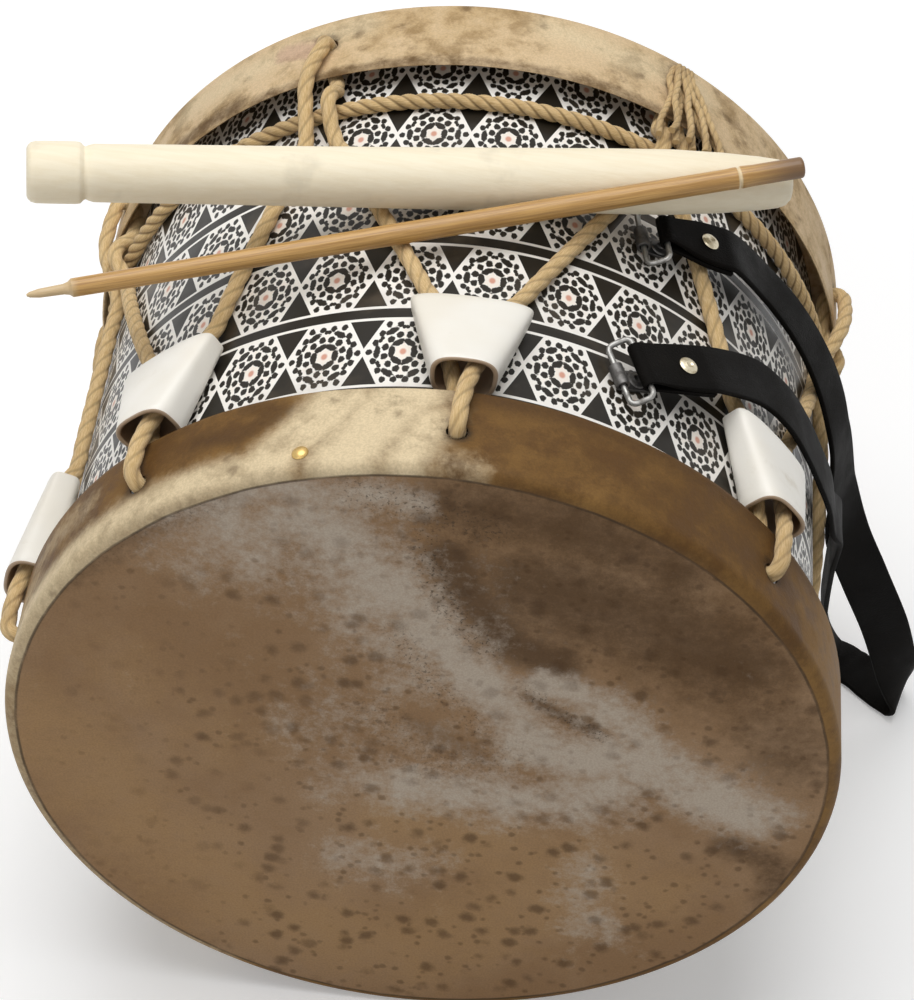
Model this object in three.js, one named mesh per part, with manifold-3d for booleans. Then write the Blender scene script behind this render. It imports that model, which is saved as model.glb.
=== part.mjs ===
// A rope-tensioned two-headed tabl drum lying on its side, with its shoulder strap and its two sticks.
// Millimetres. The drum's axis is Y, +Z is up, and the origin is the middle of the front head's outer face.
import * as THREE from 'three';
import { mergeVertices } from 'three/addons/utils/BufferGeometryUtils.js';
import Module from 'manifold-3d';

const wasm = await Module();
wasm.setup();

// Driving dimensions of the drum
const CLEAR = 0.3; // gap between pieces that touch
const ROUND_STEPS = 56; // facets round the drum
const EDGE_STEPS = 3; // facets round a head's edge
const HOLE_STEPS = 16; // facets round a lacing hole
const DEPTH = 352; // from head to head
const SKIN = 1.8; // rawhide thickness
const SKIN_EDGE_R = 6; // rounding where a head turns into its collar
const FRONT_COLLAR = 52; // reach of the front collar along the drum
const REAR_COLLAR = 54; // reach of the rear collar along the drum
const SHELL_R = 195;
const COLLAR_RISE = 15; // how far both skin collars stand out from the shell
const SHELL_WALL = 7;
const WRAP = 0.8; // patterned sheet round the shell
const HOOP_GAP = 1.5; // between a hoop and the shell
const HOOP_DEPTH = 17; // flesh hoop along the drum
const STIFFENER = 10; // thickness of the rings glued inside the shell's ends
const STIFFENER_DEPTH = 28;

// Driving dimensions of the lacing
const ROPE_D = 8.5;
const ROPE_SIDES = 8;
const ROPE_GAP = 0.6; // between the rope and the skin it passes
const ROPE_LIFT = 0.3; // between the rope and the sheet it lies on
const LEG_STEPS = 6; // straight pieces of a leg along the shell
const HOLE_R = 5.2;
const HOLE_INSET = 25.4; // from a head's face to its lacing holes
const WRAP_HALF = 6; // half the space between the two strands at a rear wrap
const BINDING_INSET = 20; // from the rear collar's edge to the binding rope
const GATHER = 17; // length over which two legs run side by side before the binding rope
const CLIMB = 17; // length over which a leg climbs on the binding rope
const SETTLE = 10; // length over which a leg comes down to the shell behind a sleeve
const TURN_STEP = 36; // degrees between rings where the rope turns through a hole
const TUCK = 3; // how far the lacing's free end is tucked under the rear collar
// Lacing holes in degrees from the top towards +X, spaced by hand, with none where the drum meets the floor
const TUNER_ANGLES = [1.1, 49, 106, 147, 208, 244, 280, 316.8]; // in the front collar
const WRAP_ANGLES = [27.8, 75.5, 127, 161.5, 226, 262, 288.4, 335]; // in the rear collar, one after each

// Driving dimensions of the lacing's frayed end
const TASSEL = 8; // thickness
const TASSEL_TOP = 12; // width at its hole
const TASSEL_FOOT = 36; // width at its loose end
const TASSEL_PAST = 6; // how far it reaches past the binding rope
const TASSEL_SIDES = 12;

// Driving dimensions of a tuner sleeve, a piece of plastic pipe pressed flat at its rear end
const TUNER_SET = 8; // from the front collar's edge to the sleeve
const TUNER_LENGTH = 54;
const TUNER_WALL = 2;
const TUNER_FRONT_WIDTH = 29.5;
const TUNER_FRONT_HEIGHT = 25.8;
const TUNER_REAR_WIDTH = 56;
const TUNER_REAR_HEIGHT = 17;
const TUNER_FRONT_SQUARE = 3; // how square the section is: 2 is an oval, and more is squarer
const TUNER_REAR_SQUARE = 5;
const TUNER_SIDES = 20;
const TUNER_LIFT = 0.6; // off the sheet it lies on
const TUNER_SLACK = 4; // how far it slides to the rear before it grips the rope
const TUNER_TRAVEL = 7; // how far it slides to the front before it meets the collar
const TUNER_NECK = 2; // from the sleeve's middle to each leg in front of it
const TUNER_CORNER = 4.5; // room beside a rope at the rear end's corners
const TUNER_BED = 0.8; // between a rope and the sleeve's floor

// Driving dimensions of the strap and its fittings
const STRAP_WIDTH = 28;
const STRAP = 3;
const LAP_GAP = 0.4; // between the strap's two layers at a rivet
const LAP_LENGTH = 40;
const LOOP_STEPS = 4; // facets of the strap round a ring's bar
const RIVET_AT = 26; // from a ring's bar to the strap rivet
const RIVET_R = 2;
const RIVET_HEAD_R = 5;
const RIVET_HEAD = 1.4;
const RIVET_STEPS = 10;
const RIVET_SEAT = 1; // room under a rivet's flat head on the shell's curve
const WIRE_R = 1.6; // strap ring wire
const WIRE_SIDES = 8;
const RING_LENGTH = 12; // between the middles of a ring's two bars
const RING_CORNER = 3.5;
const ANCHOR_WIDTH = 12;
const ANCHOR = 1.6; // anchor plate thickness
const ANCHOR_LENGTH = 15;
const ANCHOR_EYE_WALL = 1.4;
const EYE_PLAY = 0.6; // round a ring's wire in its anchor
const EYE_LIFT = 0.2; // between an eye and the sheet under it
const EYE_SUNK = 1; // how far an eye reaches back over its plate
// Each anchor's angle, distance from the near collar's edge, strap's heading and ring's rise off the shell
const STRAP_ENDS = {
  front: { angle: 25.3, inset: 51.6, heading: 26, rise: 45 },
  rear: { angle: 27.7, inset: 90.2, heading: 14, rise: 48 },
};

// Driving dimensions of the sticks
const STICK_STEPS = 18; // facets round a stick
const BEATER_LENGTH = 380;
const BEATER_LEFT_Y = 190.2; // where the beater lies on the top lacing's left leg
const BEATER_RIGHT_Y = 210; // and on its right leg
const BEATER_LEFT_REACH = 174.7; // from the knob's end to the left leg
const BEATER_KNOB = 26; // length of the knob
const BEATER_KNOB_R = 15.2;
const BEATER_GROOVE = 2.5; // half the groove behind the knob
const BEATER_ROUND = 3; // rounding of both ends
const BEATER_NECK_R = 14.2;
const BEATER_BELLY = 290; // where it is thickest, from the knob's end
const BEATER_BELLY_R = 16.3;
const BEATER_TAPER = 50; // length of the thinner end
const BEATER_TIP_R = 12.6;
const CANE_LENGTH = 365;
const CANE_R = 5.3;
const CANE_THIN_R = 4.6; // beside the whittled tip
const CANE_ROUND = 1;
const CANE_SHOULDER = 3; // slope between the tip and the cane
const CANE_TIP = 22; // whittled tip
const CANE_TIP_R = 2.6;
const CANE_LEG_Y = 160.3; // where the cane lies on the top lacing's left leg
const CANE_LEFT_REACH = 161.5; // from its thin end to that leg
const CANE_ON_BEATER = 327; // where it leans on the beater, from the knob's end
const CANE_LEAN = 53.5; // degrees from the beater's top, towards the front

// Brass tack that pins the collar to the front hoop
const TACK_ANGLE = -18.3;
const TACK_HEAD_R = 4;
const TACK_HEAD = 2;
const TACK_SHANK_R = 1;
const TACK_LENGTH = 9;

// Worked-out dimensions
const RAD = Math.PI / 180;
const ropeR = ROPE_D / 2;
const wrapR = SHELL_R + CLEAR + WRAP;
const collarR = SHELL_R + COLLAR_RISE; // the drum lies on its collars
const skinInside = collarR - SKIN;
const hoopFace = SKIN + CLEAR;
const hoopInside = SHELL_R + HOOP_GAP;
const hoopOutside = skinInside - CLEAR;
const tackY = hoopFace + HOOP_DEPTH / 2;
const rearEdge = DEPTH - REAR_COLLAR;
const bindingY = rearEdge - BINDING_INSET;
const onShell = wrapR + ROPE_LIFT + ropeR; // radius of the rope's middle along the shell
const underSkin = skinInside - ROPE_GAP - ropeR;
const overSkin = collarR + ROPE_GAP + ropeR;
const overBinding = onShell + ROPE_D + ROPE_GAP;
const turnR = (overSkin - underSkin) / 2;
const turnMiddle = (overSkin + underSkin) / 2;
const tunerFront = FRONT_COLLAR + TUNER_SET;
const tunerRear = tunerFront + TUNER_LENGTH;
const tunerSeat = wrapR + TUNER_LIFT;
const strapLayerR = onShell + ropeR + CLEAR + STRAP / 2; // strap's middle where it crosses the ropes
const floorZ = -collarR * Math.cos(Math.PI / ROUND_STEPS);

// Shapes
function at(angle, radius, y) {
  return new THREE.Vector3(radius * Math.sin(angle), y, radius * Math.cos(angle));
}

function turned(profile) {
  const points = profile.map(([radius, y]) => new THREE.Vector2(radius, y));
  return new THREE.LatheGeometry(points, ROUND_STEPS, Math.PI / ROUND_STEPS);
}

function ringTurned(inside, outside, low, high) {
  return turned([[outside, low], [outside, high], [inside, high], [inside, low], [outside, low]]);
}

function spun(profile, steps) {
  return new THREE.LatheGeometry(profile.map(([radius, y]) => new THREE.Vector2(radius, y)), steps);
}

// Joins rings of points into one closed body: end to end where the rings come round, else with flat ends.
function stitched(rings, comesRound) {
  const count = rings[0].length;
  const points = rings.flat();
  const faces = [];
  const last = comesRound ? rings.length : rings.length - 1;
  for (let i = 0; i < last; i += 1) {
    const here = i * count;
    const next = ((i + 1) % rings.length) * count;
    for (let j = 0; j < count; j += 1) {
      const k = (j + 1) % count;
      faces.push([here + j, next + j, next + k], [here + j, next + k, here + k]);
    }
  }
  if (!comesRound) {
    const end = (rings.length - 1) * count;
    for (let j = 1; j < count - 1; j += 1) {
      faces.push([0, j, j + 1], [end, end + j + 1, end + j]);
    }
  }
  const volume = faces.reduce((sum, [a, b, c]) => sum + points[a].dot(points[b].clone().cross(points[c])), 0);
  const outward = volume > 0 ? faces : faces.map(([a, b, c]) => [a, c, b]);
  const geometry = new THREE.BufferGeometry().setFromPoints(points);
  geometry.setIndex(outward.flat());
  geometry.computeVertexNormals();
  return geometry;
}

function solid(geometry) {
  const bare = geometry.clone();
  bare.deleteAttribute('normal');
  bare.deleteAttribute('uv');
  const merged = mergeVertices(bare, 1e-4);
  const vertProperties = new Float32Array(merged.attributes.position.array);
  const triVerts = new Uint32Array(merged.index.array);
  return new wasm.Manifold(new wasm.Mesh({ numProp: 3, vertProperties, triVerts }));
}

function cut(geometry, cutters) {
  const body = cutters.reduce((left, cutter) => left.subtract(solid(cutter)), solid(geometry));
  const mesh = body.getMesh();
  const result = new THREE.BufferGeometry();
  result.setAttribute('position', new THREE.BufferAttribute(mesh.vertProperties, 3));
  result.setIndex(new THREE.BufferAttribute(mesh.triVerts, 1));
  result.computeVertexNormals();
  return result;
}

// A round cutter that stands radially on the drum.
function radialHole(angle, y, radius, low, high) {
  const geometry = spun([[0, low], [radius, low], [radius, high], [0, high]], HOLE_STEPS);
  geometry.rotateX(Math.PI / 2);
  geometry.rotateY(angle);
  return geometry.translate(0, y, 0);
}

// Straight values between named stations
function between(stations, y) {
  const after = stations.findIndex(([place]) => place >= y);
  if (after <= 0) {
    return stations[after === 0 ? 0 : stations.length - 1][1];
  }
  const [y0, v0] = stations[after - 1];
  const [y1, v1] = stations[after];
  return v0 + ((v1 - v0) * (y - y0)) / (y1 - y0);
}

// A line through given points whose rings lie exactly on them
class RopeLine extends THREE.Curve {
  constructor(points) {
    super();
    this.points = points;
  }

  getPoint(t) {
    const place = Math.min(Math.max(t, 0), 1) * (this.points.length - 1);
    const first = Math.min(Math.floor(place), this.points.length - 2);
    return this.points[first].clone().lerp(this.points[first + 1], place - first);
  }

  // Halves the corner at a point, however long the stretches beside it are
  getTangent(t) {
    const place = Math.round(t * (this.points.length - 1));
    const here = this.points[place];
    const before = this.points[place - 1] ?? here;
    const after = this.points[place + 1] ?? here;
    const incoming = here.clone().sub(before).normalize();
    return after.clone().sub(here).normalize().add(incoming).normalize();
  }

  getUtoTmapping(u) {
    return u;
  }
}

function tube(points, radius, sides) {
  const section = new THREE.Shape();
  section.absarc(0, 0, radius, 0, 2 * Math.PI, false);
  const corners = section.getPoints(sides / 2).slice(0, sides);
  const extrudePath = new RopeLine(points);
  return new THREE.ExtrudeGeometry(new THREE.Shape(corners), { steps: points.length - 1, extrudePath });
}

// Materials
function material(color, roughness, metalness = 0) {
  return new THREE.MeshStandardMaterial({ color, roughness, metalness });
}

const wood = material(0xc9a36a, 0.7);
const rawhide = material(0x8a6a45, 0.75);
const mosaic = material(0x4a4a4a, 0.35);
const jute = material(0xb08a52, 0.95);
const plastic = material(0xf0ede6, 0.35);
const leather = material(0x151515, 0.5);
const steel = material(0xb9bbbe, 0.3, 1);
const brass = material(0xb58a3c, 0.35, 1);
const paleWood = material(0xe6d5ae, 0.6);
const caneSkin = material(0xb9803f, 0.5);

const drum = new THREE.Group();

function add(name, geometry, look, parent = drum) {
  const mesh = new THREE.Mesh(geometry, look);
  mesh.name = name;
  parent.add(mesh);
  return mesh;
}

// Shell, its patterned sheet and the rings glued inside its ends
function addShell() {
  const inside = SHELL_R - SHELL_WALL;
  add('shell', ringTurned(inside, SHELL_R, hoopFace, DEPTH - hoopFace), wood);
  const sheetStart = hoopFace + HOOP_DEPTH + CLEAR;
  add('shell_wrap', ringTurned(SHELL_R + CLEAR, wrapR, sheetStart, DEPTH - sheetStart), mosaic);
  const ringOutside = inside - CLEAR;
  const ringInside = ringOutside - STIFFENER;
  add('front_stiffener', ringTurned(ringInside, ringOutside, hoopFace, hoopFace + STIFFENER_DEPTH), wood);
  const rearFace = DEPTH - hoopFace;
  add('rear_stiffener', ringTurned(ringInside, ringOutside, rearFace - STIFFENER_DEPTH, rearFace), wood);
}

// Points of a quarter round between a head's flat and its collar
function edgeArc(radius, steps) {
  const points = [];
  for (let i = 0; i <= steps; i += 1) {
    const turn = (i / steps) * (Math.PI / 2);
    points.push([collarR - SKIN_EDGE_R + radius * Math.sin(turn), SKIN_EDGE_R - radius * Math.cos(turn)]);
  }
  return points;
}

// A profile drawn for the front end, turned to face the rear end
function facing(profile, isRear) {
  return isRear ? profile.map(([radius, y]) => [radius, DEPTH - y]).reverse() : profile;
}

// Flesh hoop: a ring with its outer edge rounded to fit inside the skin
function addHoop(name, isRear) {
  const rounded = edgeArc(SKIN_EDGE_R - SKIN - CLEAR, EDGE_STEPS);
  const back = hoopFace + HOOP_DEPTH;
  const corner = [hoopInside, hoopFace];
  const profile = [corner, ...rounded, [hoopOutside, back], [hoopInside, back], corner];
  const whole = turned(facing(profile, isRear));
  const deep = hoopOutside - TACK_LENGTH;
  const tackHole = radialHole(TACK_ANGLE * RAD, tackY, TACK_SHANK_R + CLEAR, deep, collarR);
  add(name, isRear ? whole : cut(whole, [tackHole]), wood);
}

// Rawhide head: a flat disc, a rounded edge and a collar with the lacing holes
function addHead(name, isRear, reach, holeAngles) {
  const profile = [
    [0, 0], ...edgeArc(SKIN_EDGE_R, EDGE_STEPS), [collarR, reach], [skinInside, reach],
    ...edgeArc(SKIN_EDGE_R - SKIN, EDGE_STEPS - 1).reverse(), [0, SKIN],
  ];
  const holeY = isRear ? DEPTH - HOLE_INSET : HOLE_INSET;
  const low = wrapR;
  const high = collarR + ROPE_D;
  const holes = holeAngles.map((angle) => radialHole(angle, holeY, HOLE_R, low, high));
  if (!isRear) {
    holes.push(radialHole(TACK_ANGLE * RAD, tackY, TACK_SHANK_R + CLEAR, low, high));
  }
  add(name, cut(turned(facing(profile, isRear)), holes), rawhide);
}

const tunerAngles = TUNER_ANGLES.map((degrees) => degrees * RAD);
const wrapAngles = WRAP_ANGLES.map((degrees) => degrees * RAD);

// Tuner sleeve: its section is drawn flat and bent round the shell
function tunerSection(angle, share, inset) {
  const halfWidth = THREE.MathUtils.lerp(TUNER_FRONT_WIDTH, TUNER_REAR_WIDTH, share) / 2 - inset;
  const halfHeight = THREE.MathUtils.lerp(TUNER_FRONT_HEIGHT, TUNER_REAR_HEIGHT, share) / 2 - inset;
  const squareness = THREE.MathUtils.lerp(TUNER_FRONT_SQUARE, TUNER_REAR_SQUARE, share);
  const points = [];
  for (let i = 0; i < TUNER_SIDES; i += 1) {
    const turn = (i / TUNER_SIDES) * 2 * Math.PI;
    const across = halfWidth * Math.sign(Math.cos(turn)) * Math.abs(Math.cos(turn)) ** (2 / squareness);
    const up = halfHeight * Math.sign(Math.sin(turn)) * Math.abs(Math.sin(turn)) ** (2 / squareness);
    const y = tunerFront + TUNER_LENGTH * share;
    points.push(at(angle + across / tunerSeat, tunerSeat + inset + halfHeight + up, y));
  }
  return points;
}

function addTuners() {
  const shares = [0, 0.33, 0.67, 1];
  tunerAngles.forEach((angle, k) => {
    const outside = shares.map((share) => tunerSection(angle, share, 0));
    const inside = shares.map((share) => tunerSection(angle, share, TUNER_WALL)).reverse();
    add(`tuner_sleeve_${k + 1}`, stitched([...outside, ...inside], true), plastic);
  });
}

// The lacing rope's route. Each sleeve holds two legs: the left one comes from under the rear collar, along
// the shell and under the front collar, turns out through its hole, and goes back over the collar as the
// right one.
const neckY = tunerFront - TUNER_TRAVEL;
const mouthY = tunerRear;
const mouthHalf = TUNER_REAR_WIDTH / 2 - TUNER_WALL - ropeR - TUNER_CORNER;
const leaveTuner = mouthY + TUNER_SLACK + CLEAR;
const inTuner = tunerSeat + TUNER_WALL + TUNER_BED + ropeR;
const gatherY = bindingY - GATHER;
const frontTurnY = HOLE_INSET + turnR;
const rearTurnY = DEPTH - HOLE_INSET - turnR;

function legAngle(k, side, y) {
  const front = tunerAngles[k];
  const count = tunerAngles.length;
  const wrap = side > 0 ? wrapAngles[k] : wrapAngles[(k + count - 1) % count] - (k === 0 ? 2 * Math.PI : 0);
  const gathered = wrap - (side * WRAP_HALF) / onShell;
  return between([
    [frontTurnY, front],
    [neckY, front + (side * TUNER_NECK) / onShell],
    [leaveTuner, front + (side * mouthHalf) / onShell],
    [gatherY, gathered],
    [rearEdge, gathered],
    [rearTurnY, wrap],
  ], y);
}

function legPoints(k, side, stations) {
  return stations.map(([y, radius]) => at(legAngle(k, side, y), radius, y));
}

// The long stretch of a leg on the shell, from behind the sleeve to where it climbs to the binding rope
function shellStations(start, end) {
  const place = (i) => THREE.MathUtils.lerp(start, end, i / LEG_STEPS);
  return Array.from({ length: LEG_STEPS + 1 }, (_, i) => [place(i), onShell]);
}

const landOnShell = leaveTuner + SETTLE;
const skinLip = rearEdge - ropeR; // where a leg has reached the rear collar
const overFront = [
  [frontTurnY, overSkin], [neckY, overSkin], [mouthY - SETTLE, inTuner], [mouthY, inTuner],
  [leaveTuner, inTuner],
];
const underFront = [
  [frontTurnY, underSkin], [FRONT_COLLAR, underSkin], [tunerFront, inTuner], [mouthY, inTuner],
  [leaveTuner, inTuner],
];
const overRear = [
  ...shellStations(landOnShell, gatherY - ROPE_D), [skinLip, overSkin], [rearTurnY, overSkin],
];
const overTheBinding = [
  ...shellStations(landOnShell, bindingY - ropeR - CLIMB), [bindingY - ropeR, overBinding],
  [bindingY + ropeR, overBinding], [skinLip, underSkin],
];
const underRear = [...overTheBinding, [rearTurnY, underSkin]];
const tuckedRear = [...overTheBinding, [rearEdge + TUCK, underSkin]];

// Points of a turn through a lacing hole, from under the skin to over it
function holeTurn(angle, turnY, outward, sweep) {
  const steps = Math.round(sweep / TURN_STEP);
  const points = [];
  for (let i = 1; i < steps; i += 1) {
    const turn = (i / steps) * sweep * RAD;
    points.push(at(angle, turnMiddle - turnR * Math.cos(turn), turnY + outward * turnR * Math.sin(turn)));
  }
  return points;
}

function lacingPoints() {
  const order = tunerAngles.map((_, i) => (i + 1) % tunerAngles.length);
  const points = [];
  order.forEach((k, place) => {
    const isFirst = place === 0;
    const isLast = place === order.length - 1;
    points.push(...legPoints(k, -1, [...underFront, ...(isFirst ? tuckedRear : underRear)]).reverse());
    points.push(...holeTurn(tunerAngles[k], frontTurnY, -1, 180));
    points.push(...legPoints(k, 1, [...overFront, ...(isLast ? underRear : overRear)]));
    if (!isLast) {
      points.push(...holeTurn(wrapAngles[k], rearTurnY, 1, 180).reverse());
    }
  });
  const knotAngle = wrapAngles[order[order.length - 1]];
  points.push(...holeTurn(knotAngle, rearTurnY, 1, 90));
  points.push(at(knotAngle, turnMiddle, rearTurnY + turnR));
  points.push(at(knotAngle, collarR + ROPE_GAP, rearTurnY + turnR));
  return points;
}

function addRopes() {
  add('lacing_rope', tube(lacingPoints(), ropeR, ROPE_SIDES), jute);
  const round = [];
  for (let i = 0; i <= ROPE_SIDES; i += 1) {
    const turn = (i / ROPE_SIDES) * 2 * Math.PI;
    round.push([onShell + ropeR * Math.cos(turn), bindingY + ropeR * Math.sin(turn)]);
  }
  add('binding_rope', turned(round), jute);
}

// Frayed end of the lacing: a flat fan from its hole, over the rear collar's edge, to the binding rope
function addTassel() {
  const holeY = DEPTH - HOLE_INSET;
  const start = collarR + ROPE_GAP + CLEAR + TASSEL / 2;
  const over = overBinding + ropeR + CLEAR + TASSEL / 2;
  const first = holeY + HOLE_R;
  const last = bindingY - TASSEL_PAST;
  const stations = [
    [first, start], [holeY - TASSEL, start], [rearEdge + ropeR, over], [bindingY + ropeR, over], [last, over],
  ];
  const rings = stations.map(([y, radius]) => {
    const halfWidth = THREE.MathUtils.mapLinear(y, first, last, TASSEL_TOP, TASSEL_FOOT) / 2;
    const ring = [];
    for (let i = 0; i < TASSEL_SIDES; i += 1) {
      const turn = (i / TASSEL_SIDES) * 2 * Math.PI;
      const across = halfWidth * Math.cos(turn);
      ring.push(at(wrapAngles[0] + across / radius, radius + (TASSEL / 2) * Math.sin(turn), y));
    }
    return ring;
  });
  add('rope_tassel', stitched(rings, false), jute);
}

// Strap fittings. A frame on the shell: along the strap, across it and out from the drum.
function surfaceFrame(angle, radius, y, heading) {
  const tangent = new THREE.Vector3(Math.cos(angle), 0, -Math.sin(angle));
  const axis = new THREE.Vector3(0, 1, 0);
  const along = tangent.clone().multiplyScalar(Math.cos(heading)).addScaledVector(axis, Math.sin(heading));
  const across = axis.clone().multiplyScalar(Math.cos(heading)).addScaledVector(tangent, -Math.sin(heading));
  const frame = new THREE.Matrix4().makeBasis(along, across, at(angle, 1, 0));
  return frame.setPosition(at(angle, radius, y));
}

function framed(frame) {
  const group = new THREE.Group();
  group.applyMatrix4(frame);
  drum.add(group);
  return group;
}

const eyeInside = WIRE_R + EYE_PLAY;
const eyeOutside = eyeInside + ANCHOR_EYE_WALL;
const eyeRise = eyeOutside + EYE_LIFT; // eye's middle above the anchor plate's underside
const eyeReach = ANCHOR_LENGTH / 2 + eyeOutside - EYE_SUNK;
const anchorRivetAt = -ANCHOR_LENGTH / 2 + ANCHOR_WIDTH / 2; // along the plate, from its middle
const loopR = WIRE_R + 2 * CLEAR + STRAP / 2; // strap's middle round a ring's bar
const barHalf = STRAP_WIDTH / 2 + RING_CORNER + CLEAR; // the strap lies on a bar's straight part

// Anchor plate with the eye that holds a ring, drawn from the side
function anchorGeometry() {
  const outline = new THREE.Shape();
  const left = -ANCHOR_LENGTH / 2;
  const meet = Math.asin((ANCHOR - eyeRise) / eyeOutside);
  outline.moveTo(left, 0);
  outline.lineTo(eyeReach, 0);
  outline.lineTo(eyeReach, eyeRise - eyeOutside);
  outline.absarc(eyeReach, eyeRise, eyeOutside, -Math.PI / 2, Math.PI - meet, false);
  outline.lineTo(left, ANCHOR);
  const eye = new THREE.Path();
  eye.absarc(eyeReach, eyeRise, eyeInside, 0, 2 * Math.PI, true);
  outline.holes.push(eye);
  const options = { depth: ANCHOR_WIDTH, bevelEnabled: false, curveSegments: WIRE_SIDES };
  const plate = new THREE.ExtrudeGeometry(outline, options);
  plate.translate(0, 0, -ANCHOR_WIDTH / 2);
  plate.rotateX(Math.PI / 2);
  return cut(plate, [rivetDrill(eyeOutside).translate(anchorRivetAt, 0, 0)]);
}

// Cutter for a rivet's hole, standing along Z
function rivetDrill(reach) {
  const radius = RIVET_R + CLEAR;
  const drill = spun([[0, -reach], [radius, -reach], [radius, reach], [0, reach]], RIVET_STEPS);
  return drill.rotateX(Math.PI / 2);
}

// Rivet with a head at each end, standing along Z from low to high between its heads
function rivetGeometry(low, high) {
  const crown = RIVET_HEAD_R - RIVET_HEAD;
  const profile = [
    [0, low - RIVET_HEAD], [crown, low - RIVET_HEAD], [RIVET_HEAD_R, low - RIVET_HEAD / 2],
    [RIVET_HEAD_R, low], [RIVET_R, low], [RIVET_R, high], [RIVET_HEAD_R, high],
    [RIVET_HEAD_R, high + RIVET_HEAD / 2], [crown, high + RIVET_HEAD], [0, high + RIVET_HEAD],
  ];
  return spun(profile, RIVET_STEPS).rotateX(Math.PI / 2);
}

// Ring: wire round a rectangle with rounded corners, its first bar on the Y axis, its second at RING_LENGTH
function ringGeometry() {
  const outline = new THREE.Shape();
  const far = RING_LENGTH;
  const corner = RING_CORNER;
  outline.absarc(corner, -barHalf + corner, corner, Math.PI, 1.5 * Math.PI, false);
  outline.absarc(far - corner, -barHalf + corner, corner, 1.5 * Math.PI, 2 * Math.PI, false);
  outline.absarc(far - corner, barHalf - corner, corner, 0, 0.5 * Math.PI, false);
  outline.absarc(corner, barHalf - corner, corner, 0.5 * Math.PI, Math.PI, false);
  const line = outline.getPoints(3);
  const rings = line.map((point, i) => {
    const before = line[(i + line.length - 1) % line.length];
    const after = line[(i + 1) % line.length];
    const way = after.clone().sub(before).normalize();
    const ring = [];
    for (let j = 0; j < WIRE_SIDES; j += 1) {
      const turn = (j / WIRE_SIDES) * 2 * Math.PI;
      const side = WIRE_R * Math.cos(turn);
      ring.push(new THREE.Vector3(point.x + way.y * side, point.y - way.x * side, WIRE_R * Math.sin(turn)));
    }
    return ring;
  });
  return stitched(rings, true);
}

// One strap end's frames: at the anchor, whose plate lies under the strap, at the ring and at the ring's bar
function strapEnd(which) {
  const { angle, inset, heading, rise } = STRAP_ENDS[which];
  const y = which === 'front' ? FRONT_COLLAR + inset : rearEdge - inset;
  const seat = surfaceFrame(angle * RAD, wrapR + CLEAR, y, heading * RAD);
  const anchor = seat.clone().multiply(new THREE.Matrix4().makeRotationZ(Math.PI));
  const ring = seat.clone().multiply(new THREE.Matrix4().makeTranslation(-eyeReach, 0, eyeRise));
  ring.multiply(new THREE.Matrix4().makeRotationY(-rise * RAD));
  const bar = new THREE.Vector3(RING_LENGTH, 0, 0).applyMatrix4(ring);
  const across = new THREE.Vector3().setFromMatrixColumn(seat, 1);
  const along = across.clone().cross(new THREE.Vector3(bar.x, 0, bar.z)).normalize();
  const end = new THREE.Matrix4().makeBasis(along, across, along.clone().cross(across)).setPosition(bar);
  return { anchor, ring, end };
}

function addFittings(which) {
  const { anchor, ring, end } = strapEnd(which);
  const plate = framed(anchor);
  add(`${which}_anchor`, anchorGeometry(), steel, plate);
  const rivetDepth = -SHELL_WALL - WRAP - CLEAR - RIVET_SEAT;
  const anchorRivet = add(`${which}_anchor_rivet`, rivetGeometry(rivetDepth, ANCHOR + CLEAR), steel, plate);
  anchorRivet.position.x = anchorRivetAt;
  add(`${which}_ring`, ringGeometry(), steel, framed(ring));
  const half = STRAP + LAP_GAP / 2 + CLEAR;
  const strapRivet = add(`${which}_strap_rivet`, rivetGeometry(-half, half), brass, framed(end));
  strapRivet.position.x = RIVET_AT;
}

// Cutter for an anchor rivet's hole through the sheet and the shell
function anchorRivetHole(which) {
  const drill = rivetDrill(2 * SHELL_WALL).translate(anchorRivetAt, 0, 0);
  return drill.applyMatrix4(strapEnd(which).anchor);
}

// The strap's end in its own frame: a lap under the strap, round the ring's bar and back over it
function strapEndPoints(frame) {
  const layer = (STRAP + LAP_GAP) / 2;
  const flat = RIVET_HEAD_R + STRAP;
  const easeAt = loopR * 2;
  const easeOut = (2 * loopR + layer) / 3;
  const points = [
    [LAP_LENGTH, -layer], [RIVET_AT + flat, -layer], [RIVET_AT - flat, -layer], [easeAt, -easeOut],
  ];
  for (let i = 0; i <= LOOP_STEPS; i += 1) {
    const turn = -Math.PI / 2 - (i / LOOP_STEPS) * Math.PI;
    points.push([loopR * Math.cos(turn), loopR * Math.sin(turn)]);
  }
  points.push([easeAt, easeOut], [RIVET_AT - flat, layer], [RIVET_AT + flat, layer], [LAP_LENGTH, layer]);
  const across = new THREE.Vector3().setFromMatrixColumn(frame, 1);
  const placed = ([along, out]) => new THREE.Vector3(along, 0, out).applyMatrix4(frame);
  return points.map((place) => ({ point: placed(place), across }));
}

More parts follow.
